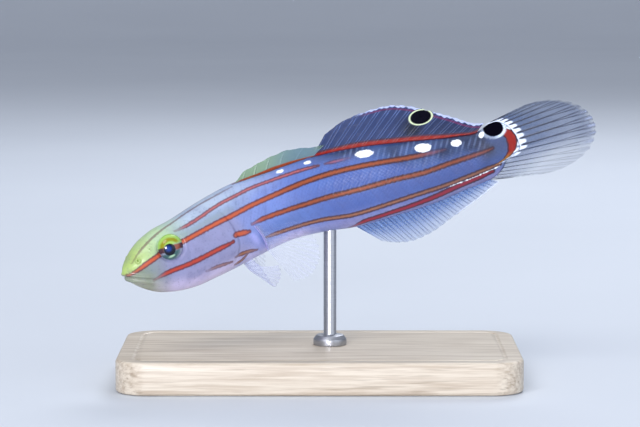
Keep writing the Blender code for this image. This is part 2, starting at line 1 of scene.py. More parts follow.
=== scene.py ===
"""Rainford's goby, a life-size display model on a small stand: skin, eyes, fins, stand and studio.

Body lengths are written in millimetres, as in the part's source, and become metres in the meshes.
A place on the skin is a distance along the body and an angle: 0 at the back, 90 degrees on the left
flank, 180 at the belly.
"""

import math

import bmesh
import bpy
import numpy as np
from bpy.props import FloatProperty, FloatVectorProperty, IntProperty, PointerProperty
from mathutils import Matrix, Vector


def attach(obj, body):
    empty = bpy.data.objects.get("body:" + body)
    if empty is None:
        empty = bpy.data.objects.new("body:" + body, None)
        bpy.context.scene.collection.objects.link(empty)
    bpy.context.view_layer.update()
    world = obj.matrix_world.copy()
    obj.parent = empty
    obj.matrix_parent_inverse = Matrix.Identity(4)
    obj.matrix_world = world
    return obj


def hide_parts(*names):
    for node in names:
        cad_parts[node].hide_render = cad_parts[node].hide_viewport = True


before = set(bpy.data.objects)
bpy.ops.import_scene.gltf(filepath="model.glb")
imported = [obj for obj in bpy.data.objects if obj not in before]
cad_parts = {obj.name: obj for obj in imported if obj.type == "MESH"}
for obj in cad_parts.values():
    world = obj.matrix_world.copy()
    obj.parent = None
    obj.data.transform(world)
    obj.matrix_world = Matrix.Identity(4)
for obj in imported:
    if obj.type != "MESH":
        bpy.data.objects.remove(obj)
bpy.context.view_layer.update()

bl_info = {
    "name": "Rainfords Goby Display Model",
    "version": (1, 0, 0),
    "blender": (4, 5, 0),
    "location": "3D View > Sidebar > Goby",
    "description": "Builds the skin, eyes, fins and stand of a life-size goby model",
    "category": "Add Mesh",
}

MM = 0.001

# Body, as in the part's source
STANDARD_LENGTH = 66.0
SNOUT = np.array((-29.7, -12.6, 18.0))
SKULL_END = 18.5
HEAD_YAW = math.radians(30.0)
HEAD_PITCH = math.radians(21.4)
NECK_END = 42.0
BODY_YAW = math.radians(-3.0)
BODY_PITCH = math.radians(14.0)
PITCH_END = 40.0
AXIS_STEP = 0.25
NOSE_ROUNDING = 5.0
SECTION_FULLNESS = 0.93
GILL_SIDE, GILL_BACK, GILL_BELLY = 17.8, 15.0, 12.6
TAIL_EDGE, TAIL_BULGE = 63.2, 3.8
CORE_LEVEL = -1.6
EYE_PLACE, EYE_LEVEL, EYE_OUT = 7.75, 1.1, 2.15
EYE_RADIUS, EYE_DEPTH = 2.08, 1.5
EYE_LIFT = math.radians(14.0)
EYE_FORWARD = math.radians(8.0)
MOUTH_LEVEL, MOUTH_SLOPE, MOUTH_CORNER = -0.55, -0.52, 3.7
# Place, level, radius and height of the rim of each nostril
NOSTRILS = ((2.3, 1.3, 0.30, 0.30), (4.6, 2.3, 0.24, 0.10))

# The skin's own detail: eye socket, gill cover, scales and muscle folds
SOCKET_RADIUS, SOCKET_LEVEL, SOCKET_EDGE = 1.95, 0.52, 0.75
RIM_RADIUS, RIM_WIDTH = 2.32, 0.2
COVER_LENGTH, COVER_STEP = 4.2, 0.42
SCALE_LENGTH, SCALE_HEIGHT, SCALED_RADIUS = 0.36, 0.62, 5.4
FOLD_PITCH, FOLD_SLANT = 1.45, 0.55
TURN = 6.283

# Fins, as in the part's source: upright ones start ROOT_SINK under the skin, paired ones ROOT_BURY
# off it, and then at FIN_OFFSET
ROOT_SINK, ROOT_BURY = 0.35, -0.25
FIN_WAVE = 0.5
FIRST_DORSAL, FIRST_DORSAL_LEAN = (21.6, 33.4), 1.3
SECOND_DORSAL = (35.1, 60.6)
ANAL, ANAL_TIPS = (38.9, 60.8), (42.6, 62.6)
CAUDAL_LEVEL, CAUDAL_TIP, CAUDAL_MIDDLE, CAUDAL_HALF_HEIGHT = -0.95, 79.1, 70.8, 5.6
CAUDAL_SPREAD = math.radians(100.0)
CAUDAL_RAYS = 17
CAUDAL_SWEEP = 1.6
PECTORAL_TOP, PECTORAL_FOOT = (21.2, -1.4), (22.9, -5.9)
PECTORAL_SWEEP = (math.radians(-8.0), math.radians(-76.0))
PECTORAL_SPLAY = (math.radians(60.0), math.radians(38.0))
PELVIC_PLACE, PELVIC_HALF_WIDTH, PELVIC_LENGTH = 19.6, 1.5, 6.2
PELVIC_HANG = math.radians(-58.0)
PELVIC_SPREAD = math.radians(34.0)
FIN_OFFSET = 0.72

# Stand, as in the part's source
BASE_SIZE = (62.0, 34.0, 5.0)
BASE_CORNER = 5.0
BASE_EDGE = 0.8
ROD_PLACE, ROD_RADIUS, ROD_DEPTH = 35.0, 1.0, 0.9
COLLAR_RADIUS, COLLAR_HEIGHT = 2.6, 1.6
# Radius of each step of the collar, and its share of the height
COLLAR_STEPS = ((COLLAR_RADIUS * 0.8, 0.0), (COLLAR_RADIUS, 0.4), (COLLAR_RADIUS, 0.6))
GROOVE_INSET, GROOVE_SLOPE, GROOVE_DEPTH = 2.4, 0.35, 0.3
GAP = 0.3

# Studio floor: half its side, where it starts to rise, and how far
FLOOR_HALF, FLOOR_FLAT, FLOOR_RISE = 4200.0, 1300.0, 1800.0

# Lights: name, place, height of what they aim at, width in metres, watts and colour
LIGHTS = (
    ("Key", (-0.22, -0.38, 0.46), 0.026, 0.3, 1.3, (1.0, 0.99, 0.97)),
    ("Fill", (0.42, -0.34, 0.2), 0.026, 0.5, 0.8, (0.86, 0.92, 1.0)),
    ("Low", (-0.2, -1.1, 0.13), 0.03, 0.24, 8.2, (0.95, 0.94, 1.0)),
    ("Rim", (0.12, 0.4, 0.42), 0.03, 0.3, 1.4, (0.92, 0.95, 1.0)),
    ("Ceiling", (0.0, 0.0, 2.2), 0.0, 2.4, 11.0, (0.96, 0.98, 1.0)),
)
SKY_COLOUR, SKY_STRENGTH = (0.8, 0.86, 1.0, 1.0), 0.36

# Camera
AIM = (0.06, -3.6, 26.2)
CAMERA_RISE = math.radians(6.0)
CAMERA_DISTANCE = 411.0
LENS, SENSOR = 150.0, 36.0


def tint(red, green, blue):
    """A display colour, 0 to 255 a channel, as linear light."""
    shares = [channel / 255 for channel in (red, green, blue)]
    return tuple(s / 12.92 if s <= 0.04045 else ((s + 0.055) / 1.055) ** 2.4 for s in shares)


def mix(first, second, share):
    return first * (1 - share) + second * share


def ease(share):
    share = np.clip(share, 0.0, 1.0)
    return share * share * (3 - 2 * share)


def hump(offset, width):
    return np.exp(-((offset / width) ** 2))


def window(value, start, rise, end, fall):
    """1 between start and end, easing in over rise and out over fall."""
    return ease((value - start) / rise) * ease((end - value) / fall)


class Profile:
    """A smooth curve through a few (place, size) pairs."""

    def __init__(self, *pairs):
        self.places, self.sizes = np.array(pairs, float).T
        self.slopes = np.gradient(self.sizes, self.places)

    def __call__(self, place):
        place = np.clip(place, self.places[0], self.places[-1])
        i = np.clip(np.searchsorted(self.places, place, side="right") - 1, 0, len(self.places) - 2)
        span = self.places[i + 1] - self.places[i]
        t = (place - self.places[i]) / span
        rise = t * t * (3 - 2 * t)
        bends = t * (1 - t) ** 2 * self.slopes[i] + t * t * (t - 1) * self.slopes[i + 1]
        return self.sizes[i] + rise * (self.sizes[i + 1] - self.sizes[i]) + span * bends


BACK = Profile((0, 2.2), (4, 3.4), (7, 4.1), (10, 4.2), (16, 4.8), (21, 5.05), (28, 4.65),
               (35, 4.65), (42, 4.4), (50, 3.4), (58, 2.3), (61, 2.15), (63.4, 3.0), (68, 3.4))
BELLY = Profile((0, -3.3), (2, -4.1), (4, -5.0), (7, -6.2), (10, -6.9), (14, -7.1), (21, -7.1),
                (29, -6.85), (34, -7.2), (39, -7.75), (46, -7.5), (52, -7.1), (58, -6.1),
                (64, -5.3), (68, -5.0))
HALF_WIDTH = Profile((0, 2.0), (4, 2.9), (7, 3.35), (11, 3.75), (17, 4.1), (22, 4.0), (30, 3.75),
                     (38, 3.45), (46, 3.0), (54, 2.3), (60, 1.55), (64, 1.0), (67, 0.7))
WIDEST = Profile((0, -0.3), (5, -0.7), (10, -1.6), (25, -1.7), (40, -1.6), (60, -1.8), (67, -1.6))
FIRST_DORSAL_HEIGHT = Profile((21, 0.35), (25, 1.0), (29, 1.7), (32.5, 1.85), (35, 1.4))
SECOND_DORSAL_HEIGHT = Profile((37.8, 2.35), (40.8, 3.65), (43.5, 4.85), (46, 5.3), (49, 5.55),
                               (52, 5.0), (56, 3.5), (60.3, 1.5), (62.4, 0.5))
SECOND_DORSAL_LEAN = Profile((35, 2.8), (38.2, 5.4), (41.4, 6.1), (46, 6.0), (53, 4.6), (58, 2.9),
                             (60.6, 1.8))
ANAL_HEIGHT = Profile((42.6, 3.2), (44.6, 4.1), (47, 4.65), (50, 4.4), (54, 3.3), (59, 2.1),
                      (62.6, 0.8))
# How far the second dorsal's clear edge stands above its solid, against the share of its root
SOFT_EDGE = Profile((0, 0.45), (0.05, 0.6), (0.12, 0.18), (0.2, 0.26), (0.35, 0.4), (0.7, 0.42), (1, 0.1))
PECTORAL_LENGTH = Profile((0, 6.9), (0.35, 8.8), (0.7, 7.9), (1, 5.4))


def heading(place):
    """Yaw and pitch of the body's axis: the skull is straight, the trunk bends behind it."""
    straighten = ease((place - SKULL_END) / (NECK_END - SKULL_END))
    sweep = ease((place - NECK_END) / (STANDARD_LENGTH - NECK_END))
    yaw = HEAD_YAW * (1 - straighten) + BODY_YAW * sweep
    pitch = mix(HEAD_PITCH, BODY_PITCH, ease((place - SKULL_END) / (PITCH_END - SKULL_END)))
    return yaw, pitch


def frame_vectors(place):
    """Unit vectors along the body (tailwards), to its left and up."""
    yaw, pitch = heading(np.asarray(place, float))
    along = np.stack([np.cos(pitch) * np.cos(yaw), np.cos(pitch) * np.sin(yaw), np.sin(pitch)], -1)
    left = np.stack([np.sin(yaw), -np.cos(yaw), np.zeros_like(yaw)], -1)
    return along, left, np.cross(left, along)


AXIS_STEPS = int((CAUDAL_TIP + 4) / AXIS_STEP)
AXIS_RUNS = frame_vectors((np.arange(AXIS_STEPS) + 0.5) * AXIS_STEP)[0] * AXIS_STEP
AXIS = np.vstack([SNOUT, SNOUT + np.cumsum(AXIS_RUNS, axis=0)])


def body_point(place, aside, level):
    """Points at distances along the body, to its left and above its axis."""
    place, aside, level = np.broadcast_arrays(*(np.asarray(v, float) for v in (place, aside, level)))
    step = np.maximum(place, 0.0) / AXIS_STEP
    i = np.clip(step.astype(int), 0, len(AXIS) - 2)
    share = (step - i)[..., None]
    along, left, up = frame_vectors(place)
    centre = AXIS[i] * (1 - share) + AXIS[i + 1] * share
    return (centre + along * np.minimum(place, 0.0)[..., None] + left * aside[..., None]
            + up * level[..., None])


def section(place):
    """Top, bottom, half width and widest level of the body's section, closing in on the snout."""
    start = 1 - np.clip(place / NOSE_ROUNDING, 0.0, 1.0)
    closing = np.sqrt(1 - start * start)
    return [profile(place) * closing for profile in (BACK, BELLY, HALF_WIDTH, WIDEST)]


def powered(value, power):
    return np.sign(value) * np.abs(value) ** power


def skin_offsets(place, angle, grow=0.0):
    """Distance aside and level of the surface; the angle runs from the back over the left flank."""
    top, bottom, half_width, widest = section(place)
    lift = powered(np.cos(angle), SECTION_FULLNESS)
    reach = np.where(lift > 0, top - widest, widest - bottom)
    aside = powered(np.sin(angle), SECTION_FULLNESS) * (half_width + grow)
    return aside, widest + lift * (reach + grow)


def skin_point(place, angle, grow=0.0):
    return body_point(place, *skin_offsets(place, angle, grow))


def angle_at_level(place, level):
    """Angle, on the left flank, at which the surface has the given level."""
    top, bottom, _, widest = section(place)
    reach = np.where(level > widest, top - widest, widest - bottom)
    lift = np.clip((level - widest) / reach, -1.0, 1.0)
    return np.arccos(powered(lift, 1 / SECTION_FULLNESS))


def gill_seam(angle):
    """Place of the gill cover's rear edge: furthest back on the flanks."""
    upright = np.where(np.cos(angle) > 0, GILL_BACK, GILL_BELLY)
    return mix(upright, GILL_SIDE, np.abs(np.sin(angle)) ** 1.3)


def tail_seam(angle):
    """Place of the tail fin's base, an arc that bulges tailwards."""
    return TAIL_EDGE + TAIL_BULGE * np.abs(np.sin(angle))


def skin_end(angle):
    """Place where the skin gives way to the tail fin's rays, sooner on the lower half."""
    return tail_seam(angle) - 2.3 * ease((np.degrees(np.abs(angle)) - 92) / 26)


def eye_frame(side):
    """Centre and axes of an eye: forwards, up and out through the pupil."""
    along, left, up = frame_vectors(EYE_PLACE)
    centre = body_point(EYE_PLACE, side * EYE_OUT, EYE_LEVEL)
    out = left * side * math.cos(EYE_LIFT) + up * math.sin(EYE_LIFT)
    out = out * math.cos(EYE_FORWARD) - along * math.sin(EYE_FORWARD)
    out /= np.linalg.norm(out)
    across = np.cross(up, out)
    across /= np.linalg.norm(across)
    return centre, across, np.cross(out, across), out


# Finishes


class Signal:
    """One output socket in a finish; sums on it add Math nodes."""

    def __init__(self, finish, socket):
        self.finish = finish
        self.socket = socket

    def math(self, operation, *inputs):
        return self.finish.node("ShaderNodeMath", {"operation": operation}, dict(enumerate(inputs)))

    def __add__(self, other):
        return self.math("ADD", self, other)

    def __sub__(self, other):
        return self.math("SUBTRACT", self, other)

    def __rsub__(self, other):
        return self.math("SUBTRACT", other, self)

    def __mul__(self, other):
        return self.math("MULTIPLY", self, other)

    def __truediv__(self, other):
        return self.math("DIVIDE", self, other)

    def __pow__(self, other):
        return self.math("POWER", self, other)

    __radd__ = __add__
    __rmul__ = __mul__

    def most(self, other):
        return self.math("MAXIMUM", self, other)

    def least(self, other):
        return self.math("MINIMUM", self, other)

    def size(self):
        return self.math("ABSOLUTE", self)

    def wave(self):
        return self.math("SINE", self)

    def wrap(self, low, high):
        return self.math("WRAP", self, high, low)

    def rise(self, low, high):
        """0 below low, 1 above high, smooth between."""
        settings = {"interpolation_type": "SMOOTHSTEP"}
        return self.finish.node("ShaderNodeMapRange", settings, {0: self, 1: low, 2: high, 3: 0.0, 4: 1.0})


class Finish:
    """A material being made."""

    def __init__(self, name, **constants):
        self.material = bpy.data.materials.new(name)
        self.material.use_nodes = True
        self.tree = self.material.node_tree
        self.shader = self.tree.nodes["Principled BSDF"]
        for socket, value in constants.items():
            self.shader.inputs[socket.replace("_", " ")].default_value = value

    def node(self, kind, settings=None, sockets=None, output=0):
        made = self.tree.nodes.new(kind)
        for key, value in (settings or {}).items():
            setattr(made, key, value)
        for key, value in (sockets or {}).items():
            if isinstance(value, Signal):
                self.tree.links.new(value.socket, made.inputs[key])
            else:
                made.inputs[key].default_value = value
        return Signal(self, made.outputs[output])

    def reading(self, attribute):
        return self.node("ShaderNodeAttribute", {"attribute_name": attribute}, output=2)

    def painted(self, attribute):
        return self.node("ShaderNodeAttribute", {"attribute_name": attribute}, output=0)

    def blend(self, first, second, share):
        first, second = (c if isinstance(c, Signal) else (*c, 1.0) for c in (first, second))
        return self.node("ShaderNodeMix", {"data_type": "RGBA"}, {0: share, 6: first, 7: second}, output=2)

    def layers(self, colour, *coats):
        """Lays (colour, share) coats over a colour, in order."""
        for coat, share in coats:
            colour = self.blend(colour, coat, share)
        return colour

    def object_place(self, stretch=None):
        place = self.node("ShaderNodeTexCoord", output=3)
        return place if stretch is None else self.node("ShaderNodeMapping", {}, {0: place, 3: stretch})

    def noise(self, vector, scale, detail=3.0, roughness=0.5):
        return self.node("ShaderNodeTexNoise", {}, {"Vector": vector, "Scale": scale, "Detail": detail,
                                                    "Roughness": roughness})

    def feed(self, **links):
        for socket, value in links.items():
            self.tree.links.new(value.socket, self.shader.inputs[socket.replace("_", " ")])

    def relief(self, height, distance, strength=1.0):
        bump = self.node("ShaderNodeBump", {}, {"Strength": strength, "Distance": distance,
                                                "Height": height})
        self.feed(Normal=bump)


# What a user may change


def shade(label, about, red, green, blue):
    return FloatVectorProperty(name=label, description=about, subtype="COLOR", size=3, min=0.0, max=1.0,
                               default=tint(red, green, blue))


class GobyColours(bpy.types.PropertyGroup):
    """Colours of the fish."""

    flank: shade("Flank", "Front half of the sides", 126, 144, 208)
    rear: shade("Rear flank", "Rear half of the sides", 76, 98, 164)
    # The breast and belly are pale of their own, and this colour is made paler still as painted light from
    # below
    belly: shade("Belly", "Breast and belly", 226, 214, 250)
    nape: shade("Nape", "Pale upper side behind the head", 168, 184, 204)
    cheek: shade("Cheek", "Side of the head and shoulder", 140, 140, 174)
    cap: shade("Cap", "Top of the head", 174, 200, 156)
    snout: shade("Snout", "Tip of the head", 166, 188, 98)
    jaw: shade("Jaw", "Lower jaw and chin", 130, 140, 104)
    band: shade("Back band", "Dark band below the second dorsal fin", 28, 44, 74)
    edge: shade("Stripe edge", "Thin dark edges of the stripes", 76, 40, 58)
    orange: shade("Orange", "Main stripes", 190, 84, 46)
    tan: shade("Tan", "Lowest body stripe", 158, 104, 72)
    rose: shade("Rose", "Faint upper stripe", 192, 90, 82)
    brown: shade("Brown", "Fine lines on the back", 150, 92, 74)
    red: shade("Red", "Cheek stripe", 180, 62, 44)
    crimson: shade("Crimson", "Stripe over the anal fin", 158, 30, 48)
    scarlet: shade("Scarlet", "Tail arc and dorsal fin base", 142, 20, 6)
    white: shade("White", "Spots and fin margins", 240, 246, 255)
    black: shade("Black", "Eyespots", 9, 8, 20)


class GobySizes(bpy.types.PropertyGroup):
    """Sizes a user may change."""

    lip: FloatProperty(name="Lip height", description="How far the lips stand out", unit="LENGTH",
                       default=0.26 * MM, min=0.0, max=MM)
    rim: FloatProperty(name="Orbit rim", description="Height of the ring round the eye", unit="LENGTH",
                       default=0.07 * MM, min=0.0, max=MM)
    gill: FloatProperty(name="Gill cover", description="Step at the gill cover's edge", unit="LENGTH",
                        default=0.2 * MM, min=0.0, max=MM)
    ray: FloatProperty(name="Ray thickness", description="Thickness of the fin rays", unit="LENGTH",
                       default=0.26 * MM, min=0.05 * MM, max=MM)
    segments: IntProperty(name="Skin columns", description="Faces round the body", default=192, min=64,
                          max=220)
    rings: IntProperty(name="Skin rows", description="Faces along the body", default=400, min=100,
                       max=440)
    depth: FloatProperty(name="Board height", description="Height of the stand's board", unit="LENGTH",
                         default=BASE_SIZE[2] * MM, min=MM, max=0.02)


# Mesh helpers


def start(name, add, **settings):
    """Adds one primitive with nothing else selected."""
    if bpy.context.mode != "OBJECT":
        bpy.ops.object.mode_set(mode="OBJECT")
    bpy.ops.object.select_all(action="DESELECT")
    add(**settings)
    made = bpy.context.object
    made.name = name
    made.data.name = name
    return made


def distance_between(first, second):
    return np.linalg.norm(first - second, axis=-1)


def opaque_black(count):
    """A colour for each of a number of points."""
    return np.tile((0.0, 0.0, 0.0, 1.0), (count, 1))


def points_of(piece, kind="co"):
    """The vertices' places, or their normals where kind is "normal"."""
    points = np.empty(len(piece.data.vertices) * 3)
    piece.data.vertices.foreach_get(kind, points)
    return points.reshape(-1, 3)


def move_to(piece, points):
    piece.data.vertices.foreach_set("co", (points * MM).ravel())
    piece.data.update()


def store(piece, **fields):
    """Keeps numbers or colours on the vertices, for the finish to read."""
    for name, values in fields.items():
        values = np.asarray(values, np.float32)
        kind, slot = ("FLOAT", "value") if values.ndim == 1 else ("FLOAT_COLOR", "color")
        attribute = piece.data.attributes.new(name, kind, "POINT")
        attribute.data.foreach_set(slot, values.ravel())


def finish_piece(piece, finish, nodes, smooth=True):
    """Shading, finish and place in the frame."""
    if smooth:
        piece.data.shade_smooth()
    piece.data.materials.clear()
    piece.data.materials.append(finish.material)
    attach(piece, "root")
    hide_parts(*nodes)


# Markings

# The stripe from the snout over the eye to the tail: (place, degrees) points
MAIN_STRIPE = ((0.4, 97), (0.7, 93), (1.2, 88), (2.8, 77), (4.4, 72), (5.6, 69), (7.3, 66), (9.7, 62),
               (14.2, 60), (19.3, 61.5), (25.5, 62), (31.9, 61), (38, 60), (45.8, 60), (49.7, 60),
               (53.2, 58), (55.6, 55))
# Each line: tint name, half width, strength at its start, middle and end, (place, degrees) points
LINES = (
    ("brown", 0.15, (0.4, 0.7, 0.5), ((1.4, 47), (2.6, 37), (4.2, 31), (5.6, 27), (7.4, 22), (9.3, 16),
                                      (11.6, 11), (14.8, 10), (18.4, 12), (21.5, 12))),
    ("orange", 0.36, (0.6, 1.0, 1.0), ((22, 3), (28, 3), (31, 3), (34, 3))),
    ("rose", 0.27, (0.4, 0.9, 0.9), ((9.3, 38), (11.7, 39), (14.1, 38), (17.5, 35), (21.1, 36),
                                      (24.8, 35), (30.3, 37), (35.7, 40))),
    ("rose", 0.26, (0.7, 0.7, 0.3), ((36.8, 40), (38.8, 40.5), (40.8, 40))),
    ("orange", 0.39, (0.8, 1.0, 0.35), MAIN_STRIPE),
    ("orange", 0.36, (0.6, 1.0, 0.8), ((21.1, 84), (23.2, 85), (27.7, 88), (31.3, 90), (35.8, 91),
                                       (41.2, 92), (46.7, 90.5), (52.3, 90), (55.9, 86), (59.9, 82),
                                       (62.8, 80))),
    ("red", 0.38, (0.35, 1.0, 1.0), ((3.4, 116), (4.3, 109), (5.9, 103), (8.5, 98), (11, 94.6),
                                     (13.7, 92.3), (17.1, 91))),
    ("orange", 0.46, (0.95, 1.0, 0.95), ((17.8, 85.5), (18.9, 87.5), (20.3, 90))),
    ("tan", 0.33, (0.9, 0.95, 1.0), ((22.5, 112.5), (24.8, 116.5), (29.3, 122.5), (34, 125), (38.5, 128),
                                     (44.9, 126), (50.5, 123), (56, 123), (60.8, 120), (63.4, 118))),
    ("crimson", 0.44, (0.6, 0.95, 1.0), ((38.2, 166), (39.8, 155), (43.8, 149.5), (46.6, 148),
                                         (51.5, 142.5), (55, 138.5), (58.2, 136), (60.6, 133.4),
                                         (62, 132))),
    ("tan", 0.29, (0.3, 0.7, 0.8), ((11.6, 120), (13.7, 121), (16.1, 125))),
    ("tan", 0.34, (0.6, 1.0, 0.8), ((16.8, 118), (18.8, 121), (20.8, 128))),
    ("tan", 0.3, (0.7, 0.95, 0.8), ((16.8, 138), (17.8, 136), (18.6, 131), (19.2, 125))),
)
# White spots: place, angle, half length, half height
SPOTS = ((29.6, 22, 0.62, 0.38), (34.2, 24, 0.62, 0.38), (43.2, 36, 1.42, 0.72), (52.3, 42, 1.3, 0.78),
         (57.5, 42, 0.85, 0.6), (61.6, 36, 0.48, 0.5))
# Black tail spot: place, level, half length, half height and its turn against the axis
TAIL_SPOT = (63.6, 2.1, 1.55, 1.22, math.radians(12))
# The red tail arc: angle, place and half width
TAIL_ARC = ((49, 64.8, 0.7), (58, 65.5, 0.85), (71, 66.0, 0.85), (82, 66.0, 0.78), (94, 65.6, 0.66),
            (107, 64.6, 0.5), (115, 63.2, 0.38), (119, 61.9, 0.33))
# A fine pale line under the lowest body stripe
LOW_LINE = ((55.5, 129.5), (58, 130), (61.7, 126.5), (63.4, 124))
# A line's spread, its longest taper and that as a share of its length, and how wide it starts and ends
LINE_SPREAD, LONGEST_TAPER, TAPER_SHARE = 0.03, 2.4, 0.35
SHORT_LINE, LONG_START, SHORT_START, LINE_FINISH = 3.5, 0.55, 0.9, 0.65
NO_LINE = -9.0


def reach_to(points, place, degrees):
    """Distance of each skin point from the skin at its own place and the given angle."""
    return distance_between(points, skin_point(place, np.radians(degrees)))


class Stripes:
    """For each skin point: depth inside the nearest stripe in mm, its colour and its strength."""

    def __init__(self, count):
        self.depth = np.full(count, NO_LINE)
        self.colour = opaque_black(count)
        self.strength = np.zeros(count)

    def add(self, depth, colour, strength=1.0):
        nearer = depth > self.depth
        self.depth = np.where(nearer, depth, self.depth)
        self.colour[nearer, :3] = np.broadcast_to(colour, (len(depth), 3))[nearer]
        self.strength = np.where(nearer, strength, self.strength)


def paint_stripes(flank, place, degrees, colours):
    """All stripes, the red tail arc and the red ridge under the second dorsal fin."""
    stripes = Stripes(len(place))
    for name, half, strengths, track in LINES:
        first, last = track[0][0], track[-1][0]
        inside = np.clip(place, first, last)
        across = reach_to(flank, place, Profile(*track)(inside))
        beyond = np.maximum(np.maximum(first - place, place - last), 0.0)
        taper = min(LONGEST_TAPER, TAPER_SHARE * (last - first))
        blunt = LONG_START if last - first > SHORT_LINE else SHORT_START
        width = (half + LINE_SPREAD) * mix(blunt, 1.0, ease((place - first) / taper))
        width *= mix(LINE_FINISH, 1.0, ease((last - place) / taper))
        hue = np.array(getattr(colours, name))
        if name == "orange":
            hue = mix(hue, np.array(tint(150, 74, 40)), ease((place - 17) / 16)[:, None])
        strength = mix(*strengths[:2], ease((inside - first) / taper))
        strength = mix(strength, strengths[2], ease(1 - (last - inside) / (2.5 * taper)))
        stripes.add(width - np.hypot(across, beyond), hue, strength)
    scarlet = np.array(colours.scarlet)
    arc, half = tail_arc(degrees)
    found = np.minimum(half - np.abs(place - arc), np.minimum(degrees - 47, 121 - degrees) * 0.09)
    stripes.add(found, mix(scarlet, np.array(tint(160, 112, 44)), ease((degrees - 92) / 20)[:, None]))
    ridge = 0.55 - reach_to(flank, place, 0.0)
    stripes.add(np.minimum(ridge, np.minimum(place - 35.2, 61.0 - place) * 0.5), scarlet)
    return stripes


def tail_arc(degrees):
    """Place and half width of the red arc at each angle."""
    angles, places, halves = np.array(TAIL_ARC, float).T
    return np.interp(degrees, angles, places), np.interp(degrees, angles, halves)


def ray_gap(share):
    """How far, in ray spacings, a share of the tail fin's fan lies from its nearest ray."""
    column = share * (CAUDAL_RAYS - 1)
    return np.abs(column - np.round(column))


def spot_depth(flank, place, spot):
    """About how deep each skin point lies inside a white oval spot, in mm."""
    where, angle, half_length, half_height = spot
    across = reach_to(flank, place, angle)
    reach = np.hypot((place - where) / half_length, across / half_height)
    return (1 - reach) * min(half_length, half_height)


# The skin

# Shares of the skin's rows that cover the skull and close the rear end
HEAD_ROWS, CLOSING_ROWS = 0.6, 0.03


def skin_finish(colours):
    finish = Finish("Goby skin", Subsurface_Weight=0.12, Subsurface_Scale=0.0012,
                    Subsurface_Radius=(1.0, 0.6, 0.7), Coat_Roughness=0.16, Specular_IOR_Level=0.32)
    read = finish.reading
    where = finish.object_place()
    mottle = finish.noise(where, 420.0, 4.0)
    grain = finish.noise(where, 2600.0, 3.0)
    rearward, scaled, muscle = read("rearward"), read("scaled"), read("muscle")
    colour = finish.blend(colours.flank, colours.rear, rearward)
    # Breast and belly: their own pale colour, made paler still as painted light from below
    colour = finish.blend(colour, colours.belly, read("under"))
    for name in ("cheek", "nape", "band", "cap", "snout", "jaw"):
        share = (read(name) * (0.7 + mottle * 0.6)).least(1.0)
        colour = finish.blend(colour, getattr(colours, name), share)
    blotches = (muscle * 9.6).wave().rise(-0.2, 1.0) * read("band")
    patches = finish.noise(where, 150.0, 2.0).rise(0.44, 0.64)
    folds = (muscle * TURN).wave().rise(0.35, 1.0) * scaled
    # Scales: two sets of rows, half a scale apart
    along, round_body = read("scale_along"), read("scale_round")
    beads = []
    for shift in (0.0, 1.0):
        run = (along - shift).wrap(-1.0, 1.0)
        turn = (round_body - shift * 0.5).wrap(-0.5, 0.5) * 2.0
        beads.append(1.0 - (run * run * 0.9 + turn * turn))
    scales = beads[0].most(beads[1]) * scaled
    outline = (1.0 - (beads[0] - beads[1]).size().rise(0.0, 0.34)) * scaled
    colour = finish.layers(
        colour,
        (tint(70, 68, 68), read("dusk") * (0.76 + mottle * 0.4)),
        (tint(166, 186, 216), read("pale") * 0.95),
        (tint(92, 98, 150), (mottle - 0.48).most(0.0) * 1.1),
        (tint(70, 76, 104), grain.rise(0.56, 0.7) * 0.2),
        # Painted shadow of the pectoral fin on the flank behind its base
        (tint(84, 108, 164), read("hollow") * 0.6),
        (tint(136, 152, 146), read("moss") * 0.6),
        (tint(172, 170, 226), read("lobe") * 0.75),
        (tint(124, 146, 190), blotches * mottle.rise(0.4, 0.62) * 0.5),
        (tint(92, 128, 200), patches * scaled * 0.3),
        (tint(66, 78, 136), folds * (mottle - 0.3).most(0.0) * 0.4),
        (tint(70, 78, 140), outline * (mottle - 0.25).most(0.0) * 0.24),
    )
    # Stripes with dark edges, then white spots and the tail's black spot in its pale ring
    ragged = (grain - 0.5) * 0.26
    depth = read("line_depth") + ragged
    inside = (depth + rearward * 0.05).rise(-0.15, 0.09) * read("line_strength")
    stripe = finish.blend(colours.edge, tint(46, 26, 42), rearward)
    stripe = finish.blend(stripe, finish.painted("line_colour"), depth.rise(0.05, 0.34) * 0.9 + 0.1)
    stripe = finish.blend(stripe, tint(104, 44, 36), (ragged * 5.0).most(0.0) * 0.5)
    spot = (read("black_depth") + ragged * 0.3).rise(-0.04, 0.05)
    colour = finish.layers(
        colour,
        (stripe, inside),
        (tint(22, 26, 48), read("dim")),
        (colours.white, (read("white_depth") + ragged * 1.3).rise(-0.07, 0.08)),
        (tint(214, 228, 244), read("halo")),
        (colours.black, spot),
    )
    finish.feed(Base_Color=colour, Roughness=0.3 + grain * 0.16 + spot * 0.3, Metallic=spot,
                Coat_Weight=0.3 * (1.0 - spot))
    finish.relief(scales * (0.4 - inside * 0.3) + grain * 0.3 - folds * 0.2, 0.0001, 0.6)
    return finish


def tail_spot_depth(place, level):
    """About how deep each skin point lies inside the black tail spot, in mm."""
    where, height, half_length, half_height, turn = TAIL_SPOT
    run, lift = place - where, level - height
    along = run * math.cos(turn) - lift * math.sin(turn)
    over = run * math.sin(turn) + lift * math.cos(turn)
    return (1 - np.hypot(along / half_length, over / half_height)) * half_height


def rows_to_places(share, end):
    """Places of the skin's rows, closest together at the snout."""
    front = SKULL_END * (share / HEAD_ROWS) ** 1.5
    rear = mix(SKULL_END, end, np.clip((share - HEAD_ROWS) / (1 - HEAD_ROWS - CLOSING_ROWS), 0, 1))
    return np.where(share < HEAD_ROWS, front, rear)


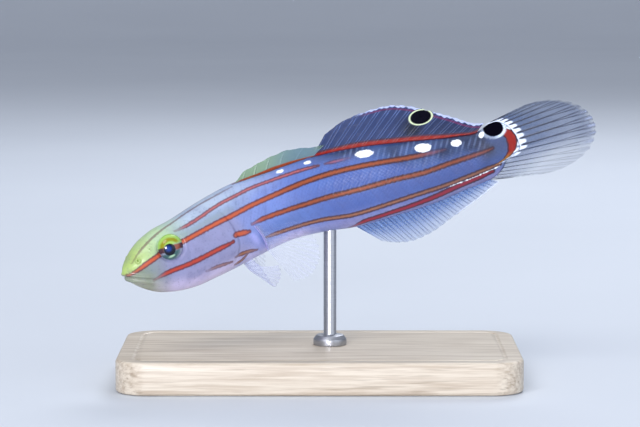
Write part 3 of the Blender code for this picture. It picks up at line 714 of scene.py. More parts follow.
def shape_eye_socket(points, side, rim):
    """Dips the skin under the eyeball and raises a ring round it."""
    centre, across, up, out = eye_frame(side)
    offset = points - centre
    x, y, z = offset @ across, offset @ up, offset @ out
    distance = np.hypot(x, y)
    near = (distance < 3.2) & (z > -0.9)
    bed = SOCKET_LEVEL - np.maximum(SOCKET_RADIUS - distance, 0.0) * 0.9
    raised = mix(bed, z, ease((distance - SOCKET_RADIUS) / SOCKET_EDGE))
    raised += rim * hump(distance - RIM_RADIUS, RIM_WIDTH)
    return points + np.where(near, raised - z, 0.0)[:, None] * out


def make_skin(sizes, colours):
    """One skin for head, jaw, trunk and tail."""
    skin = start("goby_skin", bpy.ops.mesh.primitive_uv_sphere_add, segments=sizes.segments,
                 ring_count=sizes.rings, radius=1.0)
    ball = points_of(skin)
    share = np.arccos(np.clip(ball[:, 2], -1.0, 1.0)) / math.pi
    angle = -np.arctan2(ball[:, 1], ball[:, 0])
    side_angle = np.abs(angle)
    degrees = np.degrees(side_angle)
    end = skin_end(angle)
    place = rows_to_places(share, end)
    aside, level = skin_offsets(place, angle)
    taper = mix(0.2, 1.0, np.clip((end - place) / 5.0, 0.0, 1.0) ** 0.65)
    aside = aside * np.where(place > 50, taper, 1.0)
    closing = np.clip((share - (1 - CLOSING_ROWS)) / CLOSING_ROWS, 0.0, 1.0)
    points = body_point(place, aside, level)
    rear = body_point(TAIL_EDGE + 0.4, 0.0, CORE_LEVEL)
    points = mix(points, rear, closing[:, None])
    move_to(skin, points)

    # Forms that stand out from the plain body, along its normals
    normals = points_of(skin, "normal")
    corner = ease((MOUTH_CORNER + 0.35 - place) / 1.3)
    drop = level - (MOUTH_LEVEL + MOUTH_SLOPE * place)
    lip = sizes.lip / MM
    swell = lip * corner * (hump(drop - 0.42, 0.3) + 0.9 * hump(drop + 0.44, 0.32))
    swell -= 0.17 * corner * hump(drop, 0.09)
    swell -= 0.05 * ease((place - 0.5) / 1.5) * corner * hump(drop + 1.1, 0.25)
    behind = place - gill_seam(angle)
    flank_share = np.sin(side_angle) ** 2
    cover = np.where(behind < 0, ease(behind / COVER_LENGTH + 1), ease(1 - behind / COVER_STEP))
    swell += sizes.gill / MM * flank_share ** 2 * cover
    swell -= 0.05 * flank_share ** 2 * hump(behind - 0.5, 0.3)
    swell -= 0.09 * flank_share * hump(place - (11.4 + 1.5 * np.cos(2 * side_angle)), 0.28)
    swell += 0.14 * hump(place - 9.5, 3.0) * hump(degrees - 112, 26)
    base_angle = np.degrees(angle_at_level(22.0, -3.6))
    swell += 0.32 * hump(place - 21.4, 0.9) * hump(degrees - base_angle, 22)
    swell -= 0.06 * hump(degrees - 88, 5.0) * window(place, 24, 4, 62, 4)
    points = points + normals * swell[:, None]
    for side in (1, -1):
        points = shape_eye_socket(points, side, sizes.rim / MM)
        for where, height, radius, tube in NOSTRILS:
            distance = distance_between(points, skin_point(where, side * angle_at_level(where, height)))
            ring = tube * hump(distance - radius * 0.8, radius * 0.5)
            ring -= 0.3 * hump(distance, radius * 0.42)
            points = points + normals * ring[:, None]
    move_to(skin, points)

    # Markings, and the shares of each colour; places and lengths in mm, angles in degrees
    flank = skin_point(place, side_angle)
    stripes = paint_stripes(flank, place, degrees, colours)
    arc, half = tail_arc(degrees)
    outside = place - arc - half
    teeth = np.minimum(outside, (ray_gap(degrees / 180) - 0.13) * 0.9)
    teeth = np.minimum(teeth, np.minimum(degrees - 20, 116 - degrees) * 0.05)
    low_line = 0.06 - reach_to(flank, place, Profile(*LOW_LINE)(place))
    low_line = np.minimum(low_line, np.minimum((place - 55.5) * 0.04, (63 - place) * 0.2))
    spots = [spot_depth(flank, place, spot) for spot in SPOTS]
    black = tail_spot_depth(place, level)
    ring = window(black, -0.46, 0.16, 0.02, 0.06)
    stripe_angle = Profile(*MAIN_STRIPE)(place)
    above = ease((stripe_angle - degrees) / 9 + 0.5)
    on_arc = ease((half + 0.2 - np.abs(place - arc)) / 0.2) * ease((121 - degrees) / 6)
    store(
        skin,
        line_depth=stripes.depth, line_colour=stripes.colour, line_strength=stripes.strength,
        white_depth=np.max([*spots, teeth, low_line], axis=0),
        black_depth=black,
        # Share of the pale underside: its own colour, also standing in as painted light from below
        under=ease((degrees - mix(92, 112, ease((place - 16) / 8))) / 38)
        * mix(1.0, 0.3, ease((place - 25) / 10)),
        rearward=ease((place - 20) / 18),
        dim=0.32 * ease((place - 36) / 26) * (1 - on_arc),
        nape=ease((64 - degrees) / 34) * window(place, 6, 5, 32, 16),
        cheek=ease((degrees - 40) / 26) * window(place, 2.5, 3, 27, 11)
        * mix(0.9, 0.4, ease((degrees - 108) / 30)),
        # Painted shadow cast by the pectoral fin on the flank behind its base
        hollow=hump(place - 27, 5.5) * hump(degrees - 104, 13),
        moss=hump(stripe_angle - degrees - 9, 8) * window(place, 8, 2.5, 25, 10),
        band=0.92 * ease((mix(52, 90, ease((place - 40) / 12)) - degrees) / 30)
        * window(place, 32, 9, 64, 3),
        pale=ease(outside / 0.3) * window(degrees, 18, 10, 136, 40),
        dusk=ease((place - 59.5) / 3) * ease((0.2 - outside) / 0.3) * hump(degrees - 76, 30),
        muscle=(place - FOLD_SLANT * np.abs(level - CORE_LEVEL)) / FOLD_PITCH,
        lobe=hump(place - mix(20.5, 22.2, (degrees - 94) / 44), 0.6) * window(degrees, 90, 8, 142, 10),
        halo=ring * mix(0.35, 1.0, ease((place - TAIL_SPOT[0] + 0.4) / 1.4)),
        cap=above * (1 - ease((place - 6.5) / 6.5)),
        snout=above * (1 - ease((place - 1.5) / 5.5)) * 0.85,
        jaw=(1 - above) * (1 - ease((place - 2.4) / 4.8)) * 0.9,
        scale_along=place / SCALE_LENGTH,
        scale_round=side_angle * SCALED_RADIUS / SCALE_HEIGHT,
        scaled=ease((behind - 0.3) / 2.5) * ease((end - place) / 2.0),
    )
    finish_piece(skin, skin_finish(colours), ("head", "lower_jaw", "trunk", "tail"))


# The eyes

# How far ahead of the eyeball's middle the pupil lies, and how far below it
PUPIL = (0.48, 0.28)
# The cornea's height, and its width as a share of the eyeball's radius
CORNEA_HEIGHT, CORNEA_WIDTH = 0.1, 0.42


def distance_of(x, y):
    return (x * x + y * y) ** 0.5


def eye_finish():
    """An iris with a gold arch, crossed by a dark line, round a deep blue pupil: near black, with a
    painted blue reflection in its upper part.
    """
    finish = Finish("Goby eye", Roughness=0.16, Coat_Weight=0.3, Coat_Roughness=0.05,
                    Specular_IOR_Level=0.25)
    x, y = finish.reading("eye_x"), finish.reading("eye_y")
    ahead, over = x + PUPIL[0], y + PUPIL[1]
    from_middle, from_pupil = distance_of(x, y), distance_of(ahead, over)
    streaks = finish.noise(finish.object_place(), 2400.0, 4.0)
    ragged = (streaks - 0.5) * 0.5
    lower = (0.0 - over + ragged * 0.6).rise(0.1, 0.7) * (1.0 - (from_pupil + ragged).rise(1.3, 1.9))
    arch = distance_of(x + 0.2, y + 0.15) + ragged * 0.4 - 1.34
    gold = (1.0 - arch.size() / 0.46).rise(0.0, 0.75) * (y - x * 0.15 + ragged * 0.3).rise(-0.1, 0.4)
    # Painted highlight: a pale-green patch low on the iris
    painted_iris_highlight = (1.0 - (((x + 0.5) / 0.66) ** 2.0 + ((y + 1.33) / 0.24) ** 2.0)).rise(0.0, 1.0)
    line = (1.0 - (y + 0.22 + x * 0.12 + ragged * 0.4).size() / 0.56).rise(0.0, 0.5)
    line_tint = finish.blend(tint(136, 74, 58), tint(66, 38, 48), from_middle.rise(1.0, 1.6))
    # Painted reflection: a blue sheen over the upper part of the near-black pupil
    painted_pupil_reflection = (0.72 - distance_of(ahead + 0.12, over - 0.2)).rise(0.0, 0.62)
    pupil_with_reflection = finish.blend(tint(6, 8, 24), tint(26, 62, 138), painted_pupil_reflection)
    colour = finish.layers(
        tint(146, 152, 176),
        (tint(154, 194, 92), (y + ragged).rise(-0.3, 0.5)),
        (tint(64, 96, 98), lower),
        (tint(140, 136, 28), (gold * (0.8 + streaks * 0.4)).least(1.0)),
        (tint(176, 212, 176), painted_iris_highlight * 0.8),
        (line_tint, line * from_pupil.rise(0.8, 0.95)),
        (pupil_with_reflection, 1.0 - from_pupil.rise(0.82, 0.97)),
        # Grey ring at the eyeball's edge: partly the iris's own darker rim, partly painted shade where the
        # eyeball meets its socket
        (tint(104, 112, 120), from_middle.rise(1.76, 1.98) * 0.2),
    )
    finish.feed(Base_Color=colour)
    finish.relief(streaks * from_pupil.rise(0.85, 1.05), 0.00002, 0.4)
    return finish


def make_eyes():
    """Two domed eyeballs with a slight cornea, patterned in their own plane."""
    finish = eye_finish()
    for name, side in (("left", 1), ("right", -1)):
        eye = start(f"goby_eye_{name}", bpy.ops.mesh.primitive_uv_sphere_add, segments=96, ring_count=96,
                    radius=1.0)
        ball = points_of(eye)
        distance = np.clip(np.hypot(ball[:, 0], ball[:, 1]), 0.0, 1.0)
        dome = EYE_DEPTH * np.sign(ball[:, 2]) * np.sqrt(1 - distance ** 2.6)
        dome += CORNEA_HEIGHT * hump(distance, CORNEA_WIDTH) * (ball[:, 2] > 0)
        centre, across, up, out = eye_frame(side)
        x, y = ball[:, 0] * EYE_RADIUS, ball[:, 1] * EYE_RADIUS
        move_to(eye, centre + np.outer(x, across) + np.outer(y, up) + np.outer(dome, out))
        store(eye, eye_x=x * side, eye_y=y)
        finish_piece(eye, finish, (f"eye_{name}",))


# The fins

# Length of a ray's joints, and the number of steps in which a fin's thickness is kept
JOINT_LENGTH, THICKNESS_STEPS = 0.42, 20
# Eyespot of the second dorsal fin: place, level, half length and half height
EYESPOT = (53.1, 6.5, 1.72, 1.1)
# Marks below this share of cover aren't there
FAINT = 0.001


def fin_finish(name, web, ray, web_alpha, ray_alpha, margin=None, jointed=0.35, root_reach=0.12):
    """A clear web with denser rays; tinted marks come from the fin's own fields."""
    finish = Finish(name, Coat_Weight=0.06, Coat_Roughness=0.2, Specular_IOR_Level=0.16)
    rays, along, marked, clear = (finish.reading(field) for field in ("ray", "along", "mark", "clear"))
    mottle = finish.noise(finish.object_place(), 700.0, 3.0)
    joints = (finish.reading("joint") * TURN).wave().rise(0.55, 0.95) * along.rise(0.25, 0.5)
    colour = finish.layers(web, (ray, rays), (tint(60, 64, 110), joints * rays * jointed),
                           (finish.painted("mark_colour"), marked))
    web_cover = web_alpha * (0.9 + mottle * 0.2) * (1.0 - clear)
    ray_cover = ray_alpha * (1.0 - clear * clear * 0.9)
    alpha = mix(web_cover, ray_cover, rays).most(marked * 0.97)
    if margin is not None:
        edge = finish.reading("margin")
        colour = finish.blend(colour, margin, edge)
        alpha = alpha.most(edge * 0.9)
    root = 1.0 - along.rise(0.0, root_reach)
    alpha = alpha.most(root * 0.9).least(1.0)
    finish.feed(Base_Color=colour, Alpha=alpha, Roughness=0.28 + mottle * 0.14,
                Metallic=finish.reading("jet"))
    finish.relief((rays + joints * (jointed * 0.5)) * (1.0 - marked), 0.00008, 0.6)
    return finish


def branches(column, along, fork, fork_start):
    """Distance to the nearest ray line, in ray spacings; soft rays fork twice."""
    nearest = np.round(column)
    offset = column - nearest
    first = fork * ease((along - fork_start) / 0.5)
    second = fork * 0.45 * ease((along - 0.66) / 0.34)
    lines = [sign * first + twin * second for sign in (-1, 1) for twin in (-1, 1)]
    return np.min([np.abs(offset - line) for line in lines], axis=0)


def make_fin(name, node, surface, rays, finish, sizes, columns=14, rows=60, marks=None, fork=0.2,
             fork_start=0.4, ray_width=0.1, frill=0.0, cut=0.0):
    """A fin from one grid: surface(share, along) gives its points; rays stand up as ridges.

    The share runs along the fin's root and along runs out to its edge, both from 0 to 1.
    """
    fin = start(name, bpy.ops.mesh.primitive_grid_add, x_subdivisions=(rays - 1) * columns,
                y_subdivisions=rows, size=2.0)
    flat = points_of(fin)
    share, along = (flat[:, 0] + 1) / 2, (flat[:, 1] + 1) / 2
    column = share * (rays - 1)
    inset = cut * (0.5 - 0.5 * np.cos(2 * math.pi * column)) + frill * np.sin(column * 9.1) ** 2
    reach = along * (1 - inset * along)
    move_to(fin, surface(share, reach))
    step = 0.5 / (rays - 1)
    spread = distance_between(surface(np.clip(share + step, 0, 1), reach),
                              surface(np.clip(share - step, 0, 1), reach))
    spread *= np.where((share < step) | (share > 1 - step), 2.0, 1.0)
    from_ray = branches(column, along, fork, fork_start) * spread
    ridge = hump(from_ray, ray_width * (1.15 - 0.5 * along))
    length = distance_between(surface(share, np.ones_like(share)), surface(share, np.zeros_like(share)))
    fields = {field: np.zeros(len(share)) for field in ("mark", "margin", "clear", "jet")}
    fields["mark_colour"] = opaque_black(len(share))
    if marks is not None:
        fields.update(marks(share, reach, length))
    store(fin, ray=ridge, along=along, joint=along * length / JOINT_LENGTH, **fields)
    group = fin.vertex_groups.new(name="thickness")
    weights = (0.22 + 0.78 * ridge * (1 - 0.85 * fields["mark"])) * (1 - 0.8 * along)
    levels = np.ceil(weights * THICKNESS_STEPS)
    for level in range(1, THICKNESS_STEPS + 1):
        chosen = np.nonzero(levels == level)[0].tolist()
        if chosen:
            group.add(chosen, level / THICKNESS_STEPS, "REPLACE")
    solid = fin.modifiers.new("Thickness", "SOLIDIFY")
    solid.thickness = sizes.ray * 1.6
    solid.offset = 0.0
    solid.vertex_group = group.name
    solid.use_quality_normals = True
    bpy.ops.object.modifier_apply(modifier=solid.name)
    finish_piece(fin, finish, (node,))


def straight(root_place, root_level, tip_place, tip_level, along, sway):
    """Points on straight rays that lean out to the side by the sway at their tips."""
    place = mix(root_place, tip_place, along)
    return body_point(place, sway * along * along, mix(root_level, tip_level, along))


def root_of(place, angle, along):
    """Where the rays of a paired fin start: inside the skin at first, then just off it."""
    sunk, root = skin_point(place, angle, ROOT_BURY), skin_point(place, angle, FIN_OFFSET)
    return root + (sunk - root) * (1 - ease(along / 0.3))[..., None]


def stacked(*layers):
    """Stacks (colour, share) layers into one mark field and its colour."""
    cover = np.zeros(len(layers[0][1]))
    colour = opaque_black(len(cover))
    for value, share in layers:
        weight = np.where(cover > FAINT, share, 1.0) * (share > FAINT)
        colour[:, :3] = mix(colour[:, :3], np.array(value), weight[:, None])
        cover = np.maximum(cover, share)
    return {"mark": cover, "mark_colour": colour}


def make_first_dorsal(sizes):
    def surface(share, along):
        place = mix(*FIRST_DORSAL, share) + 1.5 * share ** 4
        tip = place + FIRST_DORSAL_LEAN + 1.4 * share ** 3
        grown = ease(share * 5 + 0.25)
        tip_level = BACK(tip) + GAP * grown + FIRST_DORSAL_HEIGHT(tip) * grown - 0.35 * share ** 6
        return straight(place, BACK(place) - ROOT_SINK, tip, tip_level, along, 0.22 * share ** 4)

    def marks(share, along, length):
        height = along * length - ROOT_SINK
        reach = mix(0.25, 0.5, ease((share - 0.3) / 0.3))
        line = ease((reach - np.abs(height - 0.05)) / 0.14) * ease((share - 0.04) / 0.1)
        tip = ease((share - 0.92) / 0.08) * ease((along - 0.6) / 0.35)
        rear = ease((share - 0.35) / 0.5) * 0.8 * (1 - tip)
        fields = stacked((tint(94, 124, 146), rear), (tint(150, 68, 40), line))
        return fields | {"clear": tip * 0.9}

    finish = fin_finish("Goby first dorsal", tint(138, 166, 138), tint(160, 182, 160), 0.84, 0.94)
    make_fin("goby_first_dorsal", "first_dorsal_fin", surface, 7, finish, sizes, columns=24, rows=26,
             marks=marks, fork=0.0, frill=0.01, cut=0.05, ray_width=0.12)


def make_second_dorsal(sizes, colours):
    def ends(share):
        """Place and level of each ray's root and tip."""
        root = mix(*SECOND_DORSAL, share)
        tip = root + SECOND_DORSAL_LEAN(root)
        return root, BACK(root) - ROOT_SINK, tip, BACK(tip) + SECOND_DORSAL_HEIGHT(tip) + SOFT_EDGE(share)

    def surface(share, along):
        return straight(*ends(share), along, FIN_WAVE * np.sin(math.pi * share))

    def marks(share, along, length):
        root, root_level, tip, tip_level = ends(share)
        place, level = mix(root, tip, along), mix(root_level, tip_level, along)
        height = level - BACK(place)
        rim = (1 - along) * length
        fade = ease((place - 35.2) / 1.0)
        tall = mix(0.82, 0.4, ease((place - 52) / 9)) * mix(0.75, 1.0, ease((place - 37) / 6))
        base = ease((tall - height) / 0.1) * fade
        core = window(height, -0.1, 0.1, tall - 0.24, 0.14) * fade
        oval = np.hypot((place - EYESPOT[0]) / EYESPOT[2], (level - EYESPOT[1]) / EYESPOT[3])
        shadow = hump(np.hypot(place - 51.4, level - 5.1), 2.2) * 0.95
        ring = window(oval, 0.9, 0.08, 1.17, 0.07)
        jet = ease((1.0 - oval) / 0.06)
        line = ease((0.85 - np.abs(rim - 0.78) * 3.2) / 0.5) * ease((place - 43) / 4)
        rear = ease((place - 48) / 9) * 0.5
        fields = stacked((tint(22, 30, 56), rear), (tint(14, 22, 40), shadow),
                         (tint(112, 40, 88), line * 0.8), (colours.edge, base), (colours.scarlet, core),
                         (tint(218, 232, 190), ring), (colours.black, jet))
        torn = 0.46 + 0.17 * np.sin(place * 5.3) * np.sin(place * 2.3)
        edge = ease((torn - rim) / 0.1) * ease((place - 42.5) / 3) * ease((oval - 1.16) / 0.1)
        return fields | {"jet": jet, "margin": edge}

    finish = fin_finish("Goby second dorsal", tint(42, 58, 102), tint(100, 122, 176), 0.9, 0.95,
                        tint(186, 198, 240))
    make_fin("goby_second_dorsal", "second_dorsal_fin", surface, 17, finish, sizes, columns=18, rows=84,
             marks=marks, frill=0.012, cut=0.02, ray_width=0.06, fork=0.15, fork_start=-0.3)


def make_anal(sizes):
    def surface(share, along):
        place, tip = mix(*ANAL, share), mix(*ANAL_TIPS, share)
        return straight(place, BELLY(place) + ROOT_SINK, tip, BELLY(tip) - ANAL_HEIGHT(tip), along,
                        -FIN_WAVE * np.sin(math.pi * share))

    def marks(share, along, length):
        rim = (1 - along) * length
        return {"margin": ease((0.3 - rim) / 0.1) * ease((share - 0.5) / 0.2) * 0.9,
                "clear": 0.78 * ease((along - 0.05) / 0.95)}

    finish = fin_finish("Goby anal fin", tint(80, 120, 184), tint(64, 96, 160), 0.66, 0.76,
                        tint(226, 234, 248))
    make_fin("goby_anal", "anal_fin", surface, 17, finish, sizes, columns=22, marks=marks,
             frill=0.006, cut=0.02, ray_width=0.07, fork_start=-0.3)


def make_caudal(sizes):
    def surface(share, along):
        angle = math.pi * share
        end = skin_end(angle)
        root_level = skin_offsets(end, angle)[1] * 0.97
        turn = CAUDAL_SPREAD * (1 - 2 * share)
        tip_place = CAUDAL_MIDDLE + (CAUDAL_TIP - CAUDAL_MIDDLE) * np.cos(turn)
        tip_level = CAUDAL_LEVEL + CAUDAL_HALF_HEIGHT * np.sin(turn)
        return straight(end - 0.7, root_level, tip_place, tip_level, along, CAUDAL_SWEEP)

    def marks(share, along, length):
        out, gap = along * length, ray_gap(share)
        teeth = mix(1.15, 2.1, ease((gap - 0.1) / 0.17))
        comb = ease((teeth - out) / 0.35) * ease((0.68 - share) / 0.1)
        dark = hump(gap, 0.16) * ease((out - 0.5) / 0.5) * ease((0.62 - share) / 0.2)
        dark = dark * (1 - 0.8 * ease((along - 0.35) / 0.5))
        # Painted highlight: bluish-white light on the ray tips in the middle of the fan
        painted_ray_highlight = ease((along - 0.8) / 0.15) * hump(share - 0.47, 0.2) * hump(gap, 0.3)
        fields = stacked((tint(26, 27, 50), dark * 0.92), (tint(222, 232, 250), comb),
                         (tint(206, 218, 244), painted_ray_highlight * 0.75))
        low = ease((share - 0.5) / 0.25)
        soft = np.minimum(0.5 * ease((along - 0.15) / 0.6) + 0.5 * low, 0.86)
        return fields | {"clear": np.maximum(soft, ease((along - 0.86) / 0.14))}

    finish = fin_finish("Goby tail fin", tint(60, 86, 130), tint(34, 41, 76), 0.6, 0.88)
    make_fin("goby_caudal", "caudal_fin", surface, CAUDAL_RAYS, finish, sizes, columns=18, rows=90,
             marks=marks, frill=0.006, cut=0.012, ray_width=0.065)


def make_pectorals(sizes):
    def marks(share, along, length):
        fields = stacked((tint(176, 172, 224), ease((0.11 - along) / 0.05)))
        return fields | {"clear": 0.95 * ease((0.34 - share) / 0.2) * ease((along - 0.1) / 0.1)}

    finish = fin_finish("Goby pectoral fin", tint(196, 206, 240), tint(206, 212, 244), 0.04, 0.15,
                        jointed=0.0, root_reach=0.07)
    for name, side in (("left", 1), ("right", -1)):
        def surface(share, along, side=side):
            place = mix(PECTORAL_TOP[0], PECTORAL_FOOT[0], share)
            level = mix(PECTORAL_TOP[1], PECTORAL_FOOT[1], share)
            root = root_of(place, angle_at_level(place, level) * side, along)
            forward, left, up = frame_vectors(place)
            sweep = mix(*PECTORAL_SWEEP, share)[..., None]
            splay = mix(*PECTORAL_SPLAY, share)
            back = forward * np.cos(sweep) + up * np.sin(sweep)
            reach = PECTORAL_LENGTH(share) * along
            bend = 0.3 * reach * along
            return (root + back * (reach * np.cos(splay) + bend * 0.7)[..., None]
                    + left * (side * (reach * np.sin(splay) - bend * 0.6))[..., None])

        make_fin(f"goby_pectoral_{name}", f"pectoral_fin_{name}", surface, 15, finish, sizes, columns=12,
                 rows=56, marks=marks, cut=0.02, ray_width=0.11, fork=0.14)


def make_pelvic(sizes):
    def surface(share, along):
        across = 1 - 2 * share
        place = PELVIC_PLACE + 0.5 * across * across
        aside = PELVIC_HALF_WIDTH * np.abs(across) / section(place)[2]
        slant = np.arcsin(np.minimum(aside, 1.0) ** (1 / SECTION_FULLNESS))
        root = root_of(place, math.pi - np.sign(across) * slant, along)
        forward, left, up = frame_vectors(place)
        spread = PELVIC_SPREAD * across
        reach = PELVIC_LENGTH * (1 - 0.38 * np.abs(across) ** 1.6) * along
        down = forward * math.cos(PELVIC_HANG) + up * math.sin(PELVIC_HANG)
        cup = (0.35 * reach * along * np.abs(across))[..., None]
        return (root + down * (reach * np.cos(spread))[..., None]
                + left * (reach * np.sin(spread))[..., None] + up * cup + forward * cup)

    finish = fin_finish("Goby pelvic disc", tint(190, 198, 238), tint(204, 210, 242), 0.12, 0.3,
                        jointed=0.0)
    make_fin("goby_pelvic_disc", "pelvic_disc", surface, 12, finish, sizes, rows=46, cut=0.025,
             ray_width=0.09, fork=0.12)


# The stand


def wood_finish():
    finish = Finish("Pale limed ash", Coat_Weight=0.25, Coat_Roughness=0.25)
    rings = finish.noise(finish.object_place((7.0, 190.0, 190.0)), 9.0, 6.0, 0.62)
    pores = finish.noise(finish.object_place((60.0, 1500.0, 1500.0)), 1.6, 2.0)
    colour = finish.blend(tint(184, 168, 148), tint(216, 205, 188), rings.rise(0.32, 0.66))
    colour = finish.blend(colour, tint(140, 122, 102), pores.rise(0.56, 0.72) * 0.5)
    finish.feed(Base_Color=colour, Roughness=0.4 + rings * 0.2)
    finish.relief(rings * 0.5 - pores * 0.8, 0.00006, 0.5)
    return finish


def steel_finish():
    finish = Finish("Brushed steel", Metallic=1.0)
    strokes = finish.noise(finish.object_place((500.0, 500.0, 9000.0)), 1.0, 3.0)
    colour = finish.blend(tint(150, 153, 160), tint(196, 198, 204), strokes)
    finish.feed(Base_Color=colour, Roughness=0.3 + strokes * 0.24)
    finish.relief(strokes, 0.00001, 0.4)
    return finish


def start_solid(name, add, **settings):
    """Adds one primitive at its final size and opens it for editing."""
    solid = start(name, add, **settings)
    bpy.ops.object.transform_apply(location=True, rotation=True, scale=True)
    bpy.ops.object.mode_set(mode="EDIT")
    return solid


def choose(solid, kind, test):
    """Selects only the edges or faces that the test picks."""
    bpy.ops.mesh.select_mode(type=kind)
    bpy.ops.mesh.select_all(action="DESELECT")
    maker = bmesh.from_edit_mesh(solid.data)
    for item in maker.faces if kind == "FACE" else maker.edges:
        item.select_set(bool(test(item)))
    maker.select_flush_mode()
    bmesh.update_edit_mesh(solid.data)


def soften(solid, width, segments, degrees):
    """Ends the editing and rounds every edge sharper than the given angle."""
    bpy.ops.object.mode_set(mode="OBJECT")
    bevel = solid.modifiers.new("Edges", "BEVEL")
    bevel.width = width
    bevel.segments = segments
    bevel.limit_method = "ANGLE"
    bevel.angle_limit = math.radians(degrees)
    bpy.ops.object.modifier_apply(modifier=bevel.name)
    bpy.ops.object.shade_smooth_by_angle(angle=math.radians(35.0))


def make_board(sizes):
    """A rounded board with a fine groove cut round its top."""
    board = start_solid("display_board", bpy.ops.mesh.primitive_cube_add, size=1.0,
                        location=(0.0, 0.0, sizes.depth / 2),
                        scale=(BASE_SIZE[0] * MM, BASE_SIZE[1] * MM, sizes.depth))
    choose(board, "EDGE", lambda edge: abs(edge.verts[0].co.z - edge.verts[1].co.z) > MM)
    bpy.ops.mesh.bevel(offset=BASE_CORNER * MM, segments=14, affect="EDGES")
    choose(board, "FACE", lambda face: face.normal.z > 0.9)
    bpy.ops.mesh.inset(thickness=GROOVE_INSET * MM)
    for lift in (-GROOVE_DEPTH, GROOVE_DEPTH):
        bpy.ops.mesh.inset(thickness=GROOVE_SLOPE * MM)
        bpy.ops.transform.translate(value=(0.0, 0.0, lift * MM))
    soften(board, BASE_EDGE * 0.9 * MM, 4, 50.0)
    finish_piece(board, wood_finish(), ("stand_base",), smooth=False)


def make_rod():
    """A slim rod with a turned collar at its foot."""
    belly = body_point(ROD_PLACE, 0.0, BELLY(ROD_PLACE))
    foot = BASE_SIZE[2]
    collar_top = foot + COLLAR_HEIGHT
    height = belly[2] + ROD_DEPTH - collar_top
    centre = np.array((belly[0], belly[1], collar_top + height / 2)) * MM
    rod = start_solid("display_rod", bpy.ops.mesh.primitive_cylinder_add, vertices=64,
                      radius=ROD_RADIUS * MM, depth=height * MM, location=tuple(centre))
    choose(rod, "FACE", lambda face: face.normal.z < -0.9)
    axis = (belly[0] * MM, belly[1] * MM, foot * MM)
    before = ROD_RADIUS
    for radius, drop in COLLAR_STEPS:
        bpy.ops.mesh.extrude_region_move()
        grown = radius / before
        bpy.ops.transform.resize(value=(grown, grown, 1.0), center_override=axis)
        bpy.ops.transform.translate(value=(0.0, 0.0, -drop * COLLAR_HEIGHT * MM))
        before = radius
    soften(rod, 0.12 * MM, 3, 30.0)
    finish_piece(rod, steel_finish(), ("stand_rod",), smooth=False)


# The studio


def turn_towards(piece, way):
    """Points a light or the camera along a direction."""
    piece.rotation_euler = way.to_track_quat("-Z", "Y").to_euler()


def area_light(name, place, aim_height, width, watts, colour):
    bpy.ops.object.light_add(type="AREA", location=place)
    light = bpy.context.object
    light.name = name
    light.data.shape = "DISK"
    light.data.size = width
    light.data.energy = watts
    light.data.color = colour
    turn_towards(light, Vector((0.0, 0.0, aim_height)) - Vector(place))


def make_stage():
    """A pale floor that rises far off into a shallow bowl, soft lights and the camera."""
    floor = start("studio_floor", bpy.ops.mesh.primitive_grid_add, x_subdivisions=96, y_subdivisions=96,
                  size=2.0)
    flat = points_of(floor) * FLOOR_HALF
    distance = np.hypot(flat[:, 0], flat[:, 1])
    height = FLOOR_RISE * ease((distance - FLOOR_FLAT) / (FLOOR_HALF - FLOOR_FLAT)) - 0.05
    move_to(floor, np.stack([flat[:, 0], flat[:, 1], height], 1))
    floor.data.shade_smooth()
    finish = Finish("Pale studio floor", Roughness=0.75)
    cloud = finish.noise(finish.object_place(), 9.0, 3.0)
    finish.feed(Base_Color=finish.blend(tint(206, 212, 222), tint(214, 220, 229), cloud))
    floor.data.materials.append(finish.material)
    for light in LIGHTS:
        area_light(*light)
    scene = bpy.context.scene
    world = bpy.data.worlds.new("Studio")
    world.use_nodes = True
    sky = world.node_tree.nodes["Background"]
    sky.inputs["Color"].default_value = SKY_COLOUR
    sky.inputs["Strength"].default_value = SKY_STRENGTH
    scene.world = world
    scene.view_settings.view_transform = "Standard"
    aim = Vector(AIM) * MM
    look = Vector((0.0, math.cos(CAMERA_RISE), -math.sin(CAMERA_RISE)))
    bpy.ops.object.camera_add(location=aim - look * CAMERA_DISTANCE * MM)
    camera = bpy.context.object
    camera.name = "Camera"
    turn_towards(camera, look)
    camera.data.lens = LENS
    camera.data.sensor_width = SENSOR
    camera.data.clip_start = 0.01
    camera.data.clip_end = 20.0
    scene.camera = camera


# Operators and panel


class GOBY_OT_skin(bpy.types.Operator):
    """Model the skin of head, jaw, trunk and tail with its markings"""

    bl_idname = "goby.skin"
    bl_label = "Skin"
    bl_options = {"REGISTER", "UNDO"}

    def execute(self, context):
        make_skin(context.scene.goby_sizes, context.scene.goby_colours)
        return {"FINISHED"}


class GOBY_OT_eyes(bpy.types.Operator):
    """Model the two eyes"""

    bl_idname = "goby.eyes"
    bl_label = "Eyes"
    bl_options = {"REGISTER", "UNDO"}

    def execute(self, context):
        make_eyes()
        return {"FINISHED"}


class GOBY_OT_upright_fins(bpy.types.Operator):
    """Model both dorsal fins, the anal fin and the tail fin"""

    bl_idname = "goby.upright_fins"
    bl_label = "Upright fins"
    bl_options = {"REGISTER", "UNDO"}

    def execute(self, context):
        sizes = context.scene.goby_sizes
        make_first_dorsal(sizes)
        make_second_dorsal(sizes, context.scene.goby_colours)
        make_anal(sizes)
        make_caudal(sizes)
        return {"FINISHED"}


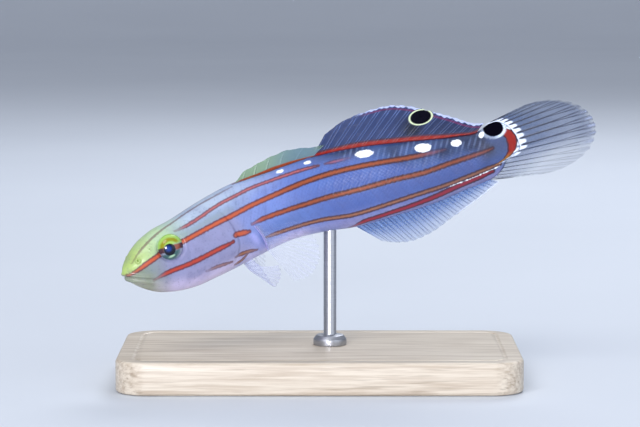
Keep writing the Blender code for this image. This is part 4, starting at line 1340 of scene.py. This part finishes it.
class GOBY_OT_paired_fins(bpy.types.Operator):
    """Model the pectoral fins and the pelvic disc"""

    bl_idname = "goby.paired_fins"
    bl_label = "Paired fins"
    bl_options = {"REGISTER", "UNDO"}

    def execute(self, context):
        make_pectorals(context.scene.goby_sizes)
        make_pelvic(context.scene.goby_sizes)
        return {"FINISHED"}


class GOBY_OT_stand(bpy.types.Operator):
    """Model the board and the rod"""

    bl_idname = "goby.stand"
    bl_label = "Stand"
    bl_options = {"REGISTER", "UNDO"}

    def execute(self, context):
        make_board(context.scene.goby_sizes)
        make_rod()
        return {"FINISHED"}


class GOBY_OT_stage(bpy.types.Operator):
    """Set up the floor, the lights and the camera"""

    bl_idname = "goby.stage"
    bl_label = "Stage"
    bl_options = {"REGISTER", "UNDO"}

    def execute(self, context):
        make_stage()
        return {"FINISHED"}


OPERATORS = (GOBY_OT_skin, GOBY_OT_eyes, GOBY_OT_upright_fins, GOBY_OT_paired_fins, GOBY_OT_stand,
             GOBY_OT_stage)


class GOBY_PT_panel(bpy.types.Panel):
    """Builds the display model"""

    bl_label = "Goby display model"
    bl_space_type = "VIEW_3D"
    bl_region_type = "UI"
    bl_category = "Goby"

    def draw(self, context):
        for group in (context.scene.goby_sizes, context.scene.goby_colours):
            for name in group.__annotations__:
                self.layout.prop(group, name)
        for operator in OPERATORS:
            self.layout.operator(operator.bl_idname)


CLASSES = (GobyColours, GobySizes, *OPERATORS, GOBY_PT_panel)


def register():
    for kind in CLASSES:
        bpy.utils.register_class(kind)
    bpy.types.Scene.goby_colours = PointerProperty(type=GobyColours)
    bpy.types.Scene.goby_sizes = PointerProperty(type=GobySizes)


def unregister():
    del bpy.types.Scene.goby_sizes
    del bpy.types.Scene.goby_colours
    for kind in reversed(CLASSES):
        bpy.utils.unregister_class(kind)


def main():
    for left_over in ("Cube", "Light", "Camera"):
        if left_over in bpy.data.objects:
            bpy.data.objects.remove(bpy.data.objects[left_over])
    register()
    bpy.ops.goby.skin()
    bpy.ops.goby.eyes()
    bpy.ops.goby.upright_fins()
    bpy.ops.goby.paired_fins()
    bpy.ops.goby.stand()
    bpy.ops.goby.stage()


if __name__ == "__main__":
    main()
